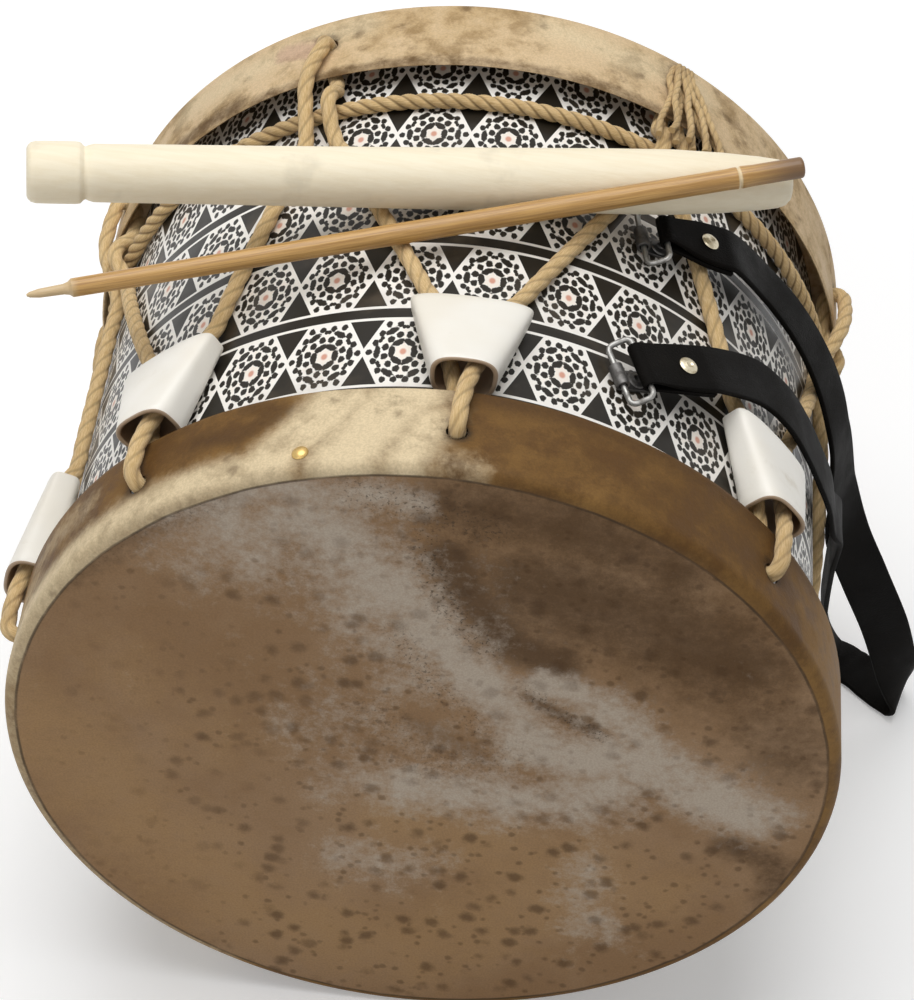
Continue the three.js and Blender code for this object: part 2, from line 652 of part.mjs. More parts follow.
// Where the strap runs. On the drum: degrees from the top, a distance from the near collar's edge and a lift
// off the ropes. Off it: distances out from the collars' side, from that edge and up from the floor. The run
// to the rear ends each stop with the degrees by which the strap's rear edge is turned out from the drum.
const STRAP_FROM_FRONT = [
  [45, 90, 5], [52, 95, 4.5], [59, 99, 2], [66, 104, 0], [73, 110, 0], [80, 118, 0],
];
const STRAP_DOWN = [[1, 134, 222], [4, 154, 176], [9, 178, 124], [15, 204, 76], [22, 226, 38], [29, 237, 13]];
const STRAP_UP = [
  [36, 10, 2.6, 0], [48, 21, 1.8, 0], [60, 32, 1.8, 0], [67, 39, 4, 0], [71, 43, 10, 10], [70, 45, 20, 32],
  [65, 48, 38, 56], [51, 53, 80, 70], [31, 58, 126, 68], [14, 63, 167, 54], [5, 70, 206, 28],
];
const STRAP_TO_REAR = [
  [76, 83.5, 4.6, 17], [69, 78, 4, 15], [62, 73.5, 2.8, 10], [55, 70, 1.4, 5], [48, 68, 0, 0],
];

function strapGeometry() {
  const across = (angle, turn = 0) => at(angle, Math.sin(turn * RAD), Math.cos(turn * RAD));
  const fromFront = (inset) => FRONT_COLLAR + inset;
  const fromRear = (inset) => rearEdge - inset;
  const onDrum = (place) => ([degrees, inset, lift, turn]) => (
    { point: at(degrees * RAD, strapLayerR + lift, place(inset)), across: across(degrees * RAD, turn) }
  );
  const hanging = (place) => ([out, inset, up, turn]) => (
    { point: new THREE.Vector3(collarR + out, place(inset), floorZ + up), across: across(Math.PI / 2, turn) }
  );
  const route = [
    ...strapEndPoints(strapEnd('front').end),
    ...STRAP_FROM_FRONT.map(onDrum(fromFront)), ...STRAP_DOWN.map(hanging(fromFront)),
    ...STRAP_UP.map(hanging(fromRear)), ...STRAP_TO_REAR.map(onDrum(fromRear)),
    ...strapEndPoints(strapEnd('rear').end).reverse(),
  ];
  const line = new THREE.CatmullRomCurve3(route.map(({ point }) => point), false, 'centripetal');
  const rings = route.map((stop, i) => strapSection(line, i / (route.length - 1), stop.across));
  const holes = ['front', 'rear'].map((which) => {
    const drill = rivetDrill(3 * STRAP).translate(RIVET_AT, 0, 0);
    return drill.applyMatrix4(strapEnd(which).end);
  });
  return cut(stitched(rings, false), holes);
}

// The strap's section at a stop, lifted where it would reach into the floor that the drum lies on
function strapSection(line, t, guide) {
  const point = line.getPoint(t);
  const way = line.getTangent(t);
  const across = guide.clone().addScaledVector(way, -way.dot(guide)).normalize();
  const out = way.clone().cross(across);
  const signs = [[1, 1], [-1, 1], [-1, -1], [1, -1]];
  const corners = signs.map(([a, b]) => point.clone()
    .addScaledVector(across, (a * STRAP_WIDTH) / 2).addScaledVector(out, (b * STRAP) / 2));
  const lowest = Math.min(...corners.map((corner) => corner.z));
  const lift = Math.max(0, floorZ + CLEAR - lowest);
  return corners.map((corner) => corner.setZ(corner.z + lift));
}

// Sticks
function layStick(name, geometry, look, start, way) {
  const mesh = add(name, geometry, look);
  mesh.position.copy(start);
  mesh.quaternion.setFromUnitVectors(new THREE.Vector3(0, 1, 0), way);
}

function legPoint(side, y) {
  return at(legAngle(0, side, y), onShell, y);
}

function legWay(side, y) {
  return legPoint(side, y + 1).sub(legPoint(side, y - 1)).normalize();
}

// Radius of the beater at a place along it, from the knob's end
const beaterProfile = [
  [0, BEATER_KNOB_R - BEATER_ROUND], [BEATER_ROUND, BEATER_KNOB_R], [BEATER_KNOB, BEATER_KNOB_R],
  [BEATER_KNOB + BEATER_GROOVE, BEATER_NECK_R - BEATER_GROOVE / 2],
  [BEATER_KNOB + 2 * BEATER_GROOVE, BEATER_NECK_R],
  [BEATER_BELLY, BEATER_BELLY_R], [BEATER_LENGTH - BEATER_TAPER, BEATER_BELLY_R],
  [BEATER_LENGTH - BEATER_ROUND, BEATER_TIP_R], [BEATER_LENGTH, BEATER_TIP_R - BEATER_ROUND],
];

// Line of the beater's axis over the two legs it lies on
function beaterLine() {
  const left = legPoint(-1, BEATER_LEFT_Y);
  const right = legPoint(1, BEATER_RIGHT_Y);
  const rough = right.clone().sub(left).normalize();
  const seat = (point, side, y, along) => {
    const up = rough.clone().cross(legWay(side, y)).normalize();
    return point.addScaledVector(up, ropeR + CLEAR + between(beaterProfile, along));
  };
  const span = right.distanceTo(left);
  const over = seat(left, -1, BEATER_LEFT_Y, BEATER_LEFT_REACH);
  const way = seat(right, 1, BEATER_RIGHT_Y, BEATER_LEFT_REACH + span).sub(over).normalize();
  return { start: over.addScaledVector(way, -BEATER_LEFT_REACH), way };
}

function addBeater() {
  const { start, way } = beaterLine();
  const profile = [[0, 0], ...beaterProfile.map(([along, radius]) => [radius, along]), [0, BEATER_LENGTH]];
  layStick('beater', spun(profile, STICK_STEPS), paleWood, start, way);
}

function addCane() {
  const { start, way } = beaterLine();
  const side = way.clone().cross(new THREE.Vector3(0, 0, 1)).normalize();
  const top = side.clone().cross(way);
  const lean = top.multiplyScalar(Math.cos(CANE_LEAN * RAD)).addScaledVector(side, Math.sin(CANE_LEAN * RAD));
  const beaterR = between(beaterProfile, CANE_ON_BEATER);
  const right = start.clone().addScaledVector(way, CANE_ON_BEATER);
  right.addScaledVector(lean, beaterR + CANE_R + CLEAR);
  const leg = legPoint(-1, CANE_LEG_Y);
  const up = right.clone().sub(leg).cross(legWay(-1, CANE_LEG_Y)).normalize();
  const left = leg.addScaledVector(up, ropeR + CANE_R + CLEAR);
  const caneWay = right.sub(left).normalize();
  const profile = [
    [0, -CANE_TIP], [CANE_TIP_R - CANE_ROUND, -CANE_TIP], [CANE_TIP_R, -CANE_TIP + CANE_ROUND],
    [CANE_TIP_R, -CANE_SHOULDER], [CANE_THIN_R, 0], [CANE_R, CANE_LEFT_REACH],
    [CANE_R, CANE_LENGTH - CANE_ROUND], [CANE_R - CANE_ROUND, CANE_LENGTH], [0, CANE_LENGTH],
  ];
  left.addScaledVector(caneWay, -CANE_LEFT_REACH);
  layStick('cane', spun(profile, STICK_STEPS), caneSkin, left, caneWay);
}

function addTack() {
  const seat = collarR + CLEAR;
  const profile = [
    [0, seat - TACK_LENGTH], [TACK_SHANK_R, seat - TACK_LENGTH + 2 * TACK_SHANK_R], [TACK_SHANK_R, seat],
    [TACK_HEAD_R, seat], [TACK_HEAD_R - TACK_HEAD / 2, seat + TACK_HEAD / 2],
    [TACK_HEAD_R - TACK_HEAD, seat + TACK_HEAD], [0, seat + TACK_HEAD],
  ];
  const tack = spun(profile, RIVET_STEPS).rotateX(Math.PI / 2).rotateY(TACK_ANGLE * RAD);
  add('collar_tack', tack.translate(0, tackY, 0), brass);
}

addShell();
addHoop('front_hoop', false);
addHoop('rear_hoop', true);
addHead('front_head', false, FRONT_COLLAR, tunerAngles);
addHead('rear_head', true, REAR_COLLAR, wrapAngles);
addTuners();
addRopes();
addTassel();
for (const which of ['front', 'rear']) {
  addFittings(which);
}
for (const name of ['shell', 'shell_wrap']) {
  const mesh = drum.getObjectByName(name);
  mesh.geometry = cut(mesh.geometry, ['front', 'rear'].map(anchorRivetHole));
}
add('shoulder_strap', strapGeometry(), leather);
addBeater();
addCane();
addTack();

export default drum;
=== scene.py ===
"""Looks of a rope-tensioned tabl drum with its shoulder strap and its two sticks.

Metres, +Z up. The drum's axis is Y, and angles go round it from the top towards +X.
"""

import math

import bmesh
import bpy
import numpy as np
from mathutils import Matrix, Vector


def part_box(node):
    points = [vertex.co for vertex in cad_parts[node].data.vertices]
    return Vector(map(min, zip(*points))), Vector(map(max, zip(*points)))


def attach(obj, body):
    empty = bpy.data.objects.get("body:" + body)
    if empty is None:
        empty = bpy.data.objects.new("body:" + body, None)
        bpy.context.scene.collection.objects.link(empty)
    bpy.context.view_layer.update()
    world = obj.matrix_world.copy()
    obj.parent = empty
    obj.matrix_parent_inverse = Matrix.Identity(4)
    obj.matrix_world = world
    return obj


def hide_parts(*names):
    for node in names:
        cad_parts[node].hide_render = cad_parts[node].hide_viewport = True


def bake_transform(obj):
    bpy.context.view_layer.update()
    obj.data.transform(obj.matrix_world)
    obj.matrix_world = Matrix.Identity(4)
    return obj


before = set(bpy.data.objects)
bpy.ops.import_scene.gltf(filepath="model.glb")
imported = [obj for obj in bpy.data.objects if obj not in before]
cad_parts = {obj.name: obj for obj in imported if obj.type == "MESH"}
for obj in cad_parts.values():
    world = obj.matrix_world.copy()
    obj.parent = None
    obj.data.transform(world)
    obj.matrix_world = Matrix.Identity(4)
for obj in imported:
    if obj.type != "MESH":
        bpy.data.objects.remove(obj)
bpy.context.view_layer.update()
cad_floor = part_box("front_head")[0].z
random = np.random.default_rng(11)
MM = 0.001

# Camera of the photograph, in the photograph's pixels
PHOTO_HEIGHT = 1000
FOCAL = 2915.17
MIDDLE = (446.17, 533.86)
PHOTO_MIDDLE = (457, 500)
CAMERA_ELEVATION = math.radians(46.36)
CAMERA_AZIMUTH = math.radians(1.31)
CAMERA_ROLL = math.radians(5)
CAMERA_AIM = Vector((0, 0.160, 0))
CAMERA_DISTANCE = 1.57194
SENSOR = 36

# Drum
DEPTH = 0.352
COLLAR_R = 0.210
SKIN = 0.0018
EDGE_R = 0.006
FRONT_COLLAR = 0.052
REAR_COLLAR = 0.054
SHELL_R = 0.195
SHELL_WALL = 0.007
CLEAR = 0.0003
WRAP = 0.0008
HOOP_DEPTH = 0.017
ROUND_STEPS = 336
FLOOR_Z = -0.2102

# Heads
FACE_STEP = 0.0032
EDGE_STEPS = 8
COLLAR_STEP = 0.002
POLE_R = 0.004
WAVE = 0.00035
WAVE_CYCLES = (3, 5, 8, 13, 21)
PUCKER = 0.0011
PUCKER_R = 0.0085
# Darkness and reach of the halos round the lacing holes, stains and painted shade of the creases where the
# rope goes in
STAIN_AND_SHADE = 0.95
STAIN_AND_SHADE_R = 0.0095

# Lacing
ROPE_R = 0.00425
ROPE_GAP = 0.0006
ROPE_LIFT = 0.0003
HOLE_R = 0.0052
HOLE_INSET = 0.0254
WRAP_HALF = 0.006
BINDING_INSET = 0.020
GATHER = 0.017
CLIMB = 0.017
SETTLE = 0.010
TUCK = 0.003
TUNER_ANGLES = np.radians([1.1, 49, 106, 147, 208, 244, 280, 316.8])
WRAP_ANGLES = np.radians([27.8, 75.5, 127, 161.5, 226, 262, 288.4, 335])
LEG_STATIONS = 7
ROPE_STRANDS = 3
LACING_LAY = 0.036
LACING_GROOVE = 0.13
LACING_SHADE = 0.4
BINDING_LAY = 0.024
BINDING_GROOVE = 0.26
BINDING_SHADE = 0.75
ROPE_STEP = 0.0015
ROPE_SIDES = 24

# Frayed end of the lacing
TASSEL = 0.008
TASSEL_STEM = (0.0030, 0.0050, 0.0078)
TASSEL_SPREAD = 0.048
TASSEL_ASIDE = 0.008
TASSEL_PAST = 0.006
TASSEL_UNEVEN = 0.004
TASSEL_WOBBLE = 0.0018
TASSEL_STEP = 0.0009
STRANDS = 9
STRAND_R = 0.0020
STRAND_LAY = 0.013
STRAND_GROOVE = 0.2
STRAND_SHADE = 0.35
STRAND_SIDES = 12
YARNS = 2

# Tuner sleeves
TUNER_FRONT = 0.060
TUNER_LENGTH = 0.054
TUNER_WALL = 0.002
TUNER_WIDTHS = (0.0295, 0.056)
TUNER_HEIGHTS = (0.0258, 0.017)
TUNER_SQUARE = (3, 5)
TUNER_LIFT = 0.0006
TUNER_SLACK = 0.004
TUNER_TRAVEL = 0.007
TUNER_NECK = 0.002
TUNER_CORNER = 0.0045
TUNER_BED = 0.0008
TUNER_SIDES = 72
TUNER_RINGS = 15

# Strap and its fittings
STRAP_WIDTH = 0.028
STRAP = 0.003
LAP_GAP = 0.0004
LAP_LENGTH = 0.040
SKIVE = 0.5
FOLD_REACH = 0.016
RIVET_AT = 0.026
RIVET_R = 0.002
RIVET_HEAD_R = 0.005
RIVET_HEAD = 0.0014
RIVET_SEAT = 0.001
WIRE_R = 0.0016
RING_LENGTH = 0.012
ANCHOR = 0.0016
ANCHOR_LENGTH = 0.015
ANCHOR_WIDTH = 0.012
EYE_WALL = 0.0014
EYE_PLAY = 0.0006
EYE_LIFT = 0.0002
EYE_SUNK = 0.001
PLATE_BEVEL = 0.0004
WELD = 0.00002
STRAP_ENDS = {
    "front": {
        "angle": 25.3, "y": 0.1036, "heading": 26, "rise": 45,
        "pinch": 0.12, "bend": (0.098, 0.225), "split": 0.236,
    },
    "rear": {
        "angle": 27.7, "y": 0.2078, "heading": 14, "rise": 48,
        "pinch": 0.4, "bend": (0.098, 0.200), "split": 0.212,
    },
}
LOOP_STEPS = 8
STRAP_STEP = 0.0022
STRAP_CORNER = 0.0009
# The strap's stops on the drum (degrees, y, lift) and off it (out from the collars' side, y, up from the
# floor) in millimetres, each with the degrees by which its rear edge is turned out from the drum
STRAP_ON_DRUM_FRONT = [
    (45, 142, 5, 0), (52, 147, 4.5, 0), (59, 151, 2, 0), (66, 156, 0, 0), (73, 162, 0, 0), (80, 170, 0, 0),
]
STRAP_HANGING = [
    (1, 186, 222, 0), (4, 206, 176, 0), (9, 230, 124, 0), (15, 256, 76, 0), (22, 278, 38, 0),
    (29, 289, 13, 0), (36, 288, 2.6, 0), (48, 277, 1.8, 0), (60, 266, 1.8, 0), (67, 259, 4, 0),
    (71, 255, 10, 10), (70, 253, 20, 32), (65, 250, 38, 56), (51, 245, 80, 70), (31, 240, 126, 68),
    (14, 235, 167, 54), (5, 228, 206, 28),
]
STRAP_ON_DRUM_REAR = [
    (76, 214.5, 4.6, 17), (69, 220, 4, 15), (62, 224.5, 2.8, 10), (55, 228, 1.4, 5), (48, 230, 0, 0),
]

# Brass tack
TACK_ANGLE = math.radians(-18.3)
TACK_HEAD_R = 0.004
TACK_HEAD = 0.002
TACK_LENGTH = 0.009
PIN_R = 0.001
AXIS_R = 0.0002

# Sticks
BEATER_LENGTH = 0.380
KNOB_R = 0.0152
NECK_R = 0.0142
BELLY_R = 0.0163
END_R = 0.0126
CANE_LENGTH = 0.365
CANE_TIP = 0.022
CANE_TIP_R = 0.0026
CANE_THIN_R = 0.0046
CANE_THICK_R = 0.0053
NODE_AT = CANE_TIP + 0.332
STICK_STEP = 0.0025

# Stage
FILL = 0.30
FLOOR_HALF = 6.0
FLOOR_TONE = (0.93, 0.93, 0.93)
FLOOR_GLOW = 0.2
FAR_GLOW = 0.8
FLOOR_NEAR = 0.6
FLOOR_FAR = 2.4
LIGHTS = {
    "overhead": {"place": (-0.3, 0.4, 2.2), "aim": (0, 0.15, 0), "size": 2.2, "power": 42},
    "front_fill": {"place": (-0.6, -2.2, 1.1), "aim": (0, 0.1, 0), "size": 1.6, "power": 10},
}

# Worked-out places
wrap_r = SHELL_R + CLEAR + WRAP
skin_inside = COLLAR_R - SKIN
hoop_face = SKIN + CLEAR
rear_edge = DEPTH - REAR_COLLAR
binding_y = rear_edge - BINDING_INSET
on_shell = wrap_r + ROPE_LIFT + ROPE_R
under_skin = skin_inside - ROPE_GAP - ROPE_R
over_skin = COLLAR_R + ROPE_GAP + ROPE_R
over_binding = on_shell + 2 * ROPE_R + ROPE_GAP
turn_r = (over_skin - under_skin) / 2
turn_middle = (over_skin + under_skin) / 2
tuner_seat = wrap_r + TUNER_LIFT
tuner_rear = TUNER_FRONT + TUNER_LENGTH
strap_layer_r = on_shell + ROPE_R + CLEAR + STRAP / 2
mouth_half = TUNER_WIDTHS[1] / 2 - TUNER_WALL - ROPE_R - TUNER_CORNER
leave_tuner = tuner_rear + TUNER_SLACK + CLEAR
land_on_shell = leave_tuner + SETTLE
in_tuner = tuner_seat + TUNER_WALL + TUNER_BED + ROPE_R
neck_y = TUNER_FRONT - TUNER_TRAVEL
gather_y = binding_y - GATHER
front_turn_y = HOLE_INSET + turn_r
rear_turn_y = DEPTH - HOLE_INSET - turn_r
skin_lip = rear_edge - ROPE_R
eye_inside = WIRE_R + EYE_PLAY
eye_outside = eye_inside + EYE_WALL
eye_rise = eye_outside + EYE_LIFT
eye_reach = ANCHOR_LENGTH / 2 + eye_outside - EYE_SUNK
anchor_rivet_at = -ANCHOR_LENGTH / 2 + ANCHOR_WIDTH / 2
loop_r = WIRE_R + 2 * CLEAR + STRAP * (1 - SKIVE) / 2


# Meshes
def around(angle, radius, y):
    angle, radius, y = np.broadcast_arrays(angle, radius, y)
    return np.stack([radius * np.sin(angle), y, radius * np.cos(angle)], axis=-1).astype(float)


def full_turn(steps):
    return np.linspace(0, math.tau, steps, endpoint=False)


def linked(name, data):
    """A new object in the scene."""
    piece = bpy.data.objects.new(name, data)
    bpy.context.scene.collection.objects.link(piece)
    return piece


def new_piece(name, verts, faces, uvs=None, crease=40):
    """A smooth mesh piece whose faces point out, creased at its corners."""
    mesh = bpy.data.meshes.new(name)
    mesh.from_pydata(verts, [], faces)
    if uvs is not None:
        mesh.uv_layers.new(name="UVMap").data.foreach_set("uv", np.asarray(uvs, np.float32).ravel())
    work = bmesh.new()
    work.from_mesh(mesh)
    bmesh.ops.recalc_face_normals(work, faces=work.faces)
    work.to_mesh(mesh)
    work.free()
    mesh.polygons.foreach_set("use_smooth", np.ones(len(mesh.polygons), bool))
    mesh.set_sharp_from_angle(angle=math.radians(crease))
    return linked(name, mesh)


def skinned(name, rings, comes_round=False, crease=40):
    """A closed skin over rings of points, with flat ends unless the rings come round.
    Its UVs hold the share of the way round (u) and the length along it in metres (v)."""
    rings = np.asarray(rings, float)
    count, sides = rings.shape[:2]
    last = count if comes_round else count - 1
    i = np.arange(last)[:, None]
    j = np.arange(sides)[None, :]
    here = i * sides
    after = ((i + 1) % count) * sides
    beside = (j + 1) % sides
    quads = np.stack([here + j, here + beside, after + beside, after + j], axis=-1).reshape(-1, 4)
    middles = rings.mean(axis=1)
    steps = np.linalg.norm(np.roll(middles, -1, axis=0) - middles, axis=1)
    along = np.concatenate([[0], np.cumsum(steps)])
    u = np.stack(np.broadcast_arrays(j, j + 1, j + 1, j), axis=-1) / sides
    v = np.stack([along[i], along[i], along[i + 1], along[i + 1]], axis=-1)
    uvs = np.stack(np.broadcast_arrays(u, v), axis=-1).reshape(-1, 2)
    faces = quads.tolist()
    if not comes_round:
        end = (count - 1) * sides
        faces += [list(range(sides)), [end + k for k in range(sides)]]
        uvs = np.concatenate([uvs, np.zeros((2 * sides, 2))])
    return new_piece(name, rings.reshape(-1, 3), faces, uvs, crease)


def lathed(name, profile, place, steps=48, crease=40):
    """A piece turned about its own Z axis from (radius, height) points, set at a place."""
    turn = full_turn(steps)
    rings = [
        np.stack([radius * np.cos(turn), radius * np.sin(turn), np.full(steps, height)], axis=-1)
        for radius, height in profile
    ]
    piece = skinned(name, rings, crease=crease)
    piece.data.transform(place)
    return piece


def finished(piece, body, look, slot, *nodes):
    """Gives a piece its material and its body, and hides the nodes that it stands for."""
    piece.data.materials.append(look)
    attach(piece, body)
    return declared(piece, slot, *nodes)


def declared(piece, slot, *nodes):
    if nodes:
        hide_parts(*nodes)
    return piece


def smooth(points, step, carried=None):
    """Points every step along a spline through the given ones, with carried values in step."""
    points = np.asarray(points, float)
    gaps = np.sqrt(np.linalg.norm(np.diff(points, axis=0), axis=1))
    knots = np.concatenate([[0], np.cumsum(gaps)])
    slopes = np.gradient(points, knots, axis=0)
    fine = []
    pieces = 12
    for i, gap in enumerate(gaps):
        t = np.linspace(0, 1, pieces, endpoint=False)[:, None]
        fine.append(
            (1 + 2 * t) * (1 - t) ** 2 * points[i] + t * (1 - t) ** 2 * gap * slopes[i]
            + t * t * (3 - 2 * t) * points[i + 1] - t * t * (1 - t) * gap * slopes[i + 1]
        )
    line = np.concatenate([*fine, points[-1:]])
    lengths = np.concatenate([[0], np.cumsum(np.linalg.norm(np.diff(line, axis=0), axis=1))])
    even = np.linspace(0, lengths[-1], int(lengths[-1] / step) + 1)
    spread = np.stack([np.interp(even, lengths, line[:, k]) for k in range(line.shape[1])], axis=-1)
    if carried is None:
        return spread
    carried = np.asarray(carried, float)
    share = np.linspace(0, len(points) - 1, len(line))
    index = np.interp(even, lengths, share)
    values = [np.interp(index, np.arange(len(points)), carried[:, k]) for k in range(carried.shape[1])]
    return spread, np.stack(values, axis=-1)


def ways(line, comes_round=False):
    """Unit directions along a line."""
    if comes_round:
        way = np.roll(line, -1, axis=0) - np.roll(line, 1, axis=0)
    else:
        way = np.gradient(line, axis=0)
    return way / np.linalg.norm(way, axis=1, keepdims=True)


def sides_along(line, way, first):
    """A side direction at each point of a line, carried along without turning about it."""
    side = np.array(first, float)
    found = []
    for direction in way:
        side = side - direction * side.dot(direction)
        side /= np.linalg.norm(side)
        found.append(side)
    return np.array(found)


def twisted(
    name, line, radius, strands, lay, groove, side=None, comes_round=False, sides=ROPE_SIDES,
):
    """Rope of twisted strands along a line of even points. The groove is a share of the radius."""
    way = ways(line, comes_round)
    if side is None:
        side = sides_along(line, way, (0.31, 0.22, 0.93))
    other = np.cross(way, side)
    step = np.linalg.norm(line[1] - line[0])
    turn = full_turn(sides)
    lobes = np.abs(np.cos(turn * strands / 2))
    reach = radius * (1 - groove * (1 - lobes))
    angle = turn[None, :] + (np.arange(len(line)) * step * math.tau / lay)[:, None]
    out = np.cos(angle)[..., None] * side[:, None] + np.sin(angle)[..., None] * other[:, None]
    return skinned(name, line[:, None] + out * reach[None, :, None], comes_round, crease=75)


# Materials
class Value:
    """A node's output that can be reckoned with. Each sign makes a math node."""

    def __init__(self, look, socket):
        self.look = look
        self.socket = socket

    def __add__(self, other):
        return self.look.math("ADD", self, other)

    def __sub__(self, other):
        return self.look.math("SUBTRACT", self, other)

    def __mul__(self, other):
        return self.look.math("MULTIPLY", self, other)

    def __truediv__(self, other):
        return self.look.math("DIVIDE", self, other)

    def __abs__(self):
        return self.look.math("ABSOLUTE", self)


class Look:
    """A material's nodes, written as short calls that take numbers, colours and nodes' outputs."""

    def __init__(self, name, **fixed):
        self.material = bpy.data.materials.new(name)
        self.material.use_nodes = True
        self.nodes = self.material.node_tree.nodes
        self.shader = self.nodes["Principled BSDF"]
        for socket, value in fixed.items():
            self.shader.inputs[socket.replace("_", " ")].default_value = value

    def put(self, socket, value):
        if isinstance(value, Value):
            self.material.node_tree.links.new(value.socket, socket)
        elif hasattr(value, "__len__") and len(value) == 3 and len(socket.default_value) == 4:
            socket.default_value = (*value, 1)
        else:
            socket.default_value = value

    def node(self, kind, *values, output=0, inputs=None, **settings):
        """An output of a new node, whose inputs are given in order or by their keys."""
        node = self.nodes.new("ShaderNode" + kind)
        for key, value in settings.items():
            setattr(node, key, value)
        given = dict(enumerate(values)) | (inputs or {})
        for key, value in given.items():
            self.put(node.inputs[key], value)
        return Value(self, node.outputs[output])

    def math(self, operation, a, b=0.0, c=0.0):
        return self.node("Math", a, b, c, operation=operation)

    def ramp(self, value, low, high, start=0.0, end=1.0):
        return self.node("MapRange", value, low, high, start, end, interpolation_type="SMOOTHSTEP")

    def mix(self, share, a, b):
        return self.node("Mix", output=2, inputs={0: share, 6: a, 7: b}, data_type="RGBA")

    def place(self, kind="Object"):
        return self.node("TexCoord", output=kind)

    def scaled(self, vector, scale):
        return self.node("VectorMath", vector, scale, operation="MULTIPLY")

    def length(self, vector):
        return self.node("VectorMath", vector, output="Value", operation="LENGTH")

    def split(self, vector):
        first = self.node("SeparateXYZ", vector)
        return [Value(self, socket) for socket in first.socket.node.outputs]

    def joined(self, x, y, z=0.0):
        return self.node("CombineXYZ", x, y, z)

    def wound(self, turn, along):
        """A place on a round stick or rope, with no seam where it comes round."""
        return self.joined(self.math("SINE", turn), self.math("COSINE", turn), along)

    def noise(self, place, scale, detail=3.0, rough=0.55):
        given = {"Vector": place, "Scale": scale, "Detail": detail, "Roughness": rough}
        return self.node("TexNoise", inputs=given)

    def spots(self, place, scale, **settings):
        given = {"Vector": place, "Scale": scale}
        return self.node("TexVoronoi", output="Distance", inputs=given, **settings)

    def attribute(self, name):
        return self.node("Attribute", output="Fac", attribute_name=name)

    def made(self, colour, rough, grain=None, depth=0.0, strength=0.0):
        """The material, with its colour, its roughness and a bumpy grain."""
        self.put(self.shader.inputs["Base Color"], colour)
        self.put(self.shader.inputs["Roughness"], rough)
        if grain is not None:
            given = {"Height": grain, "Distance": depth, "Strength": strength}
            self.put(self.shader.inputs["Normal"], self.node("Bump", inputs=given))
        return self.material


# Mosaic on the shell: rows of hexagons that touch at their corners, between dark bands
MOSAIC_ROUND = 32
MOSAIC_START = 0.012
ROW_PITCH = 0.0552
ROW_LINE = 0.0633
HEX_HALF_HEIGHT = 0.0226
BAND_LINE = 1.07
OUTLINE = 0.055
LINE_SOFT = 0.01
# Dark specks of a hexagon, each as (out towards a corner, aside of it, half length out, half length aside)
SPECKS = (
    (0.28, 0.0, 0.074, 0.15), (0.455, 0.125, 0.078, 0.078), (0.65, 0.0, 0.072, 0.155),
    (0.86, 0.0, 0.075, 0.07), (0.717, 0.248, 0.072, 0.074), (0.60, 0.30, 0.045, 0.05),
)
STAR_R = 0.20
WHITE = (0.88, 0.85, 0.80)
BLACK = (0.016, 0.013, 0.009)
PINK = (0.62, 0.28, 0.19)
CREAM = (0.86, 0.79, 0.71)
SHELL_GRIME = (0.20, 0.15, 0.10)


def mosaic_look():
    look = Look("mosaic_sheet", Specular_IOR_Level=0.2, Coat_Weight=0.04, Coat_Roughness=0.25)
    place = look.place()
    x, y, z = look.split(place)
    turns = look.math("ARCTAN2", x, z) / math.tau
    columns = (turns - MOSAIC_START / (math.tau * wrap_r)) * MOSAIC_ROUND
    p = look.math("WRAP", columns, 0.5, -0.5) * 2
    row = look.math("WRAP", y - (ROW_LINE + ROW_PITCH / 2), ROW_PITCH / 2, -ROW_PITCH / 2)
    q = row / HEX_HALF_HEIGHT
    up = abs(q)
    edge = abs(p) + up * 0.5
    s = q * (math.sqrt(3) / 2)
    from_middle = look.math("SQRT", p * p + s * s)
    turn = look.math("WRAP", look.math("ARCTAN2", s, p), math.pi / 6, -math.pi / 6)
    aside = abs(from_middle * look.math("SINE", turn))
    folded = look.joined(from_middle * look.math("COSINE", turn), aside)
    nearest = 9.0
    for out, beside, half_out, half_beside in SPECKS:
        away = look.node("VectorMath", folded, (out, beside, 0), operation="SUBTRACT")
        away = look.scaled(away, (1 / half_out, 1 / half_beside, 0))
        nearest = look.math("MINIMUM", nearest, look.length(away))
    ragged = look.noise(place, 520, 2.0) * 1.1 - 0.55
    specks = look.ramp(nearest + ragged, 1.0, 1.32, 1, 0)
    pointing = look.ramp(abs(turn), math.radians(17), math.radians(28))
    petals = pointing * look.ramp(from_middle, 0.78, 0.60)
    pale = look.mix(petals * 0.4, WHITE, CREAM)
    star = look.ramp(from_middle - pointing * 0.06, STAR_R - 0.03, STAR_R, 1, 0)
    pale = look.mix(star, pale, CREAM)
    pale = look.mix(look.ramp(from_middle, 0.05, 0.11, 0.9, 0), pale, PINK)
    tone = look.mix(specks, pale, BLACK)
    for value, line, colour in (
        (edge, 1 - OUTLINE, WHITE), (edge, 1 + OUTLINE, BLACK),
        (up, 1 - LINE_SOFT, WHITE), (up, BAND_LINE, BLACK),
    ):
        tone = look.mix(look.ramp(value, line, line + LINE_SOFT), tone, colour)
    grime = look.ramp(look.noise(place, 26, 4.0), 0.52, 0.75, 0, 0.25)
    rough = look.ramp(look.noise(place, 60), 0.2, 0.8, 0.30, 0.48)
    return look.made(look.mix(grime, tone, SHELL_GRIME), rough)


# Rawhide, whose broad marks are painted on as values at the mesh's points
HIDE_BROWN = (0.255, 0.148, 0.070)
HIDE_WARM = (0.315, 0.198, 0.108)
HIDE_DARK = (0.070, 0.034, 0.011)
HIDE_TAN = (0.36, 0.22, 0.102)
HIDE_GREY = (0.46, 0.385, 0.305)
HIDE_CREAM = (0.74, 0.60, 0.385)
HIDE_OCHRE = (0.105, 0.050, 0.013)
HIDE_GOLD = (0.26, 0.142, 0.043)
HIDE_PALE = (0.68, 0.51, 0.31)
HIDE_FAWN = (0.50, 0.345, 0.17)
HIDE_PINK = (0.56, 0.37, 0.26)
# Near-black for soot specks, pores, the rim line and the painted shade round the lacing holes
HIDE_SOOT_AND_SHADE = (0.032, 0.020, 0.011)
RIM_R = 0.2043
RIM_BLUR = 0.0007
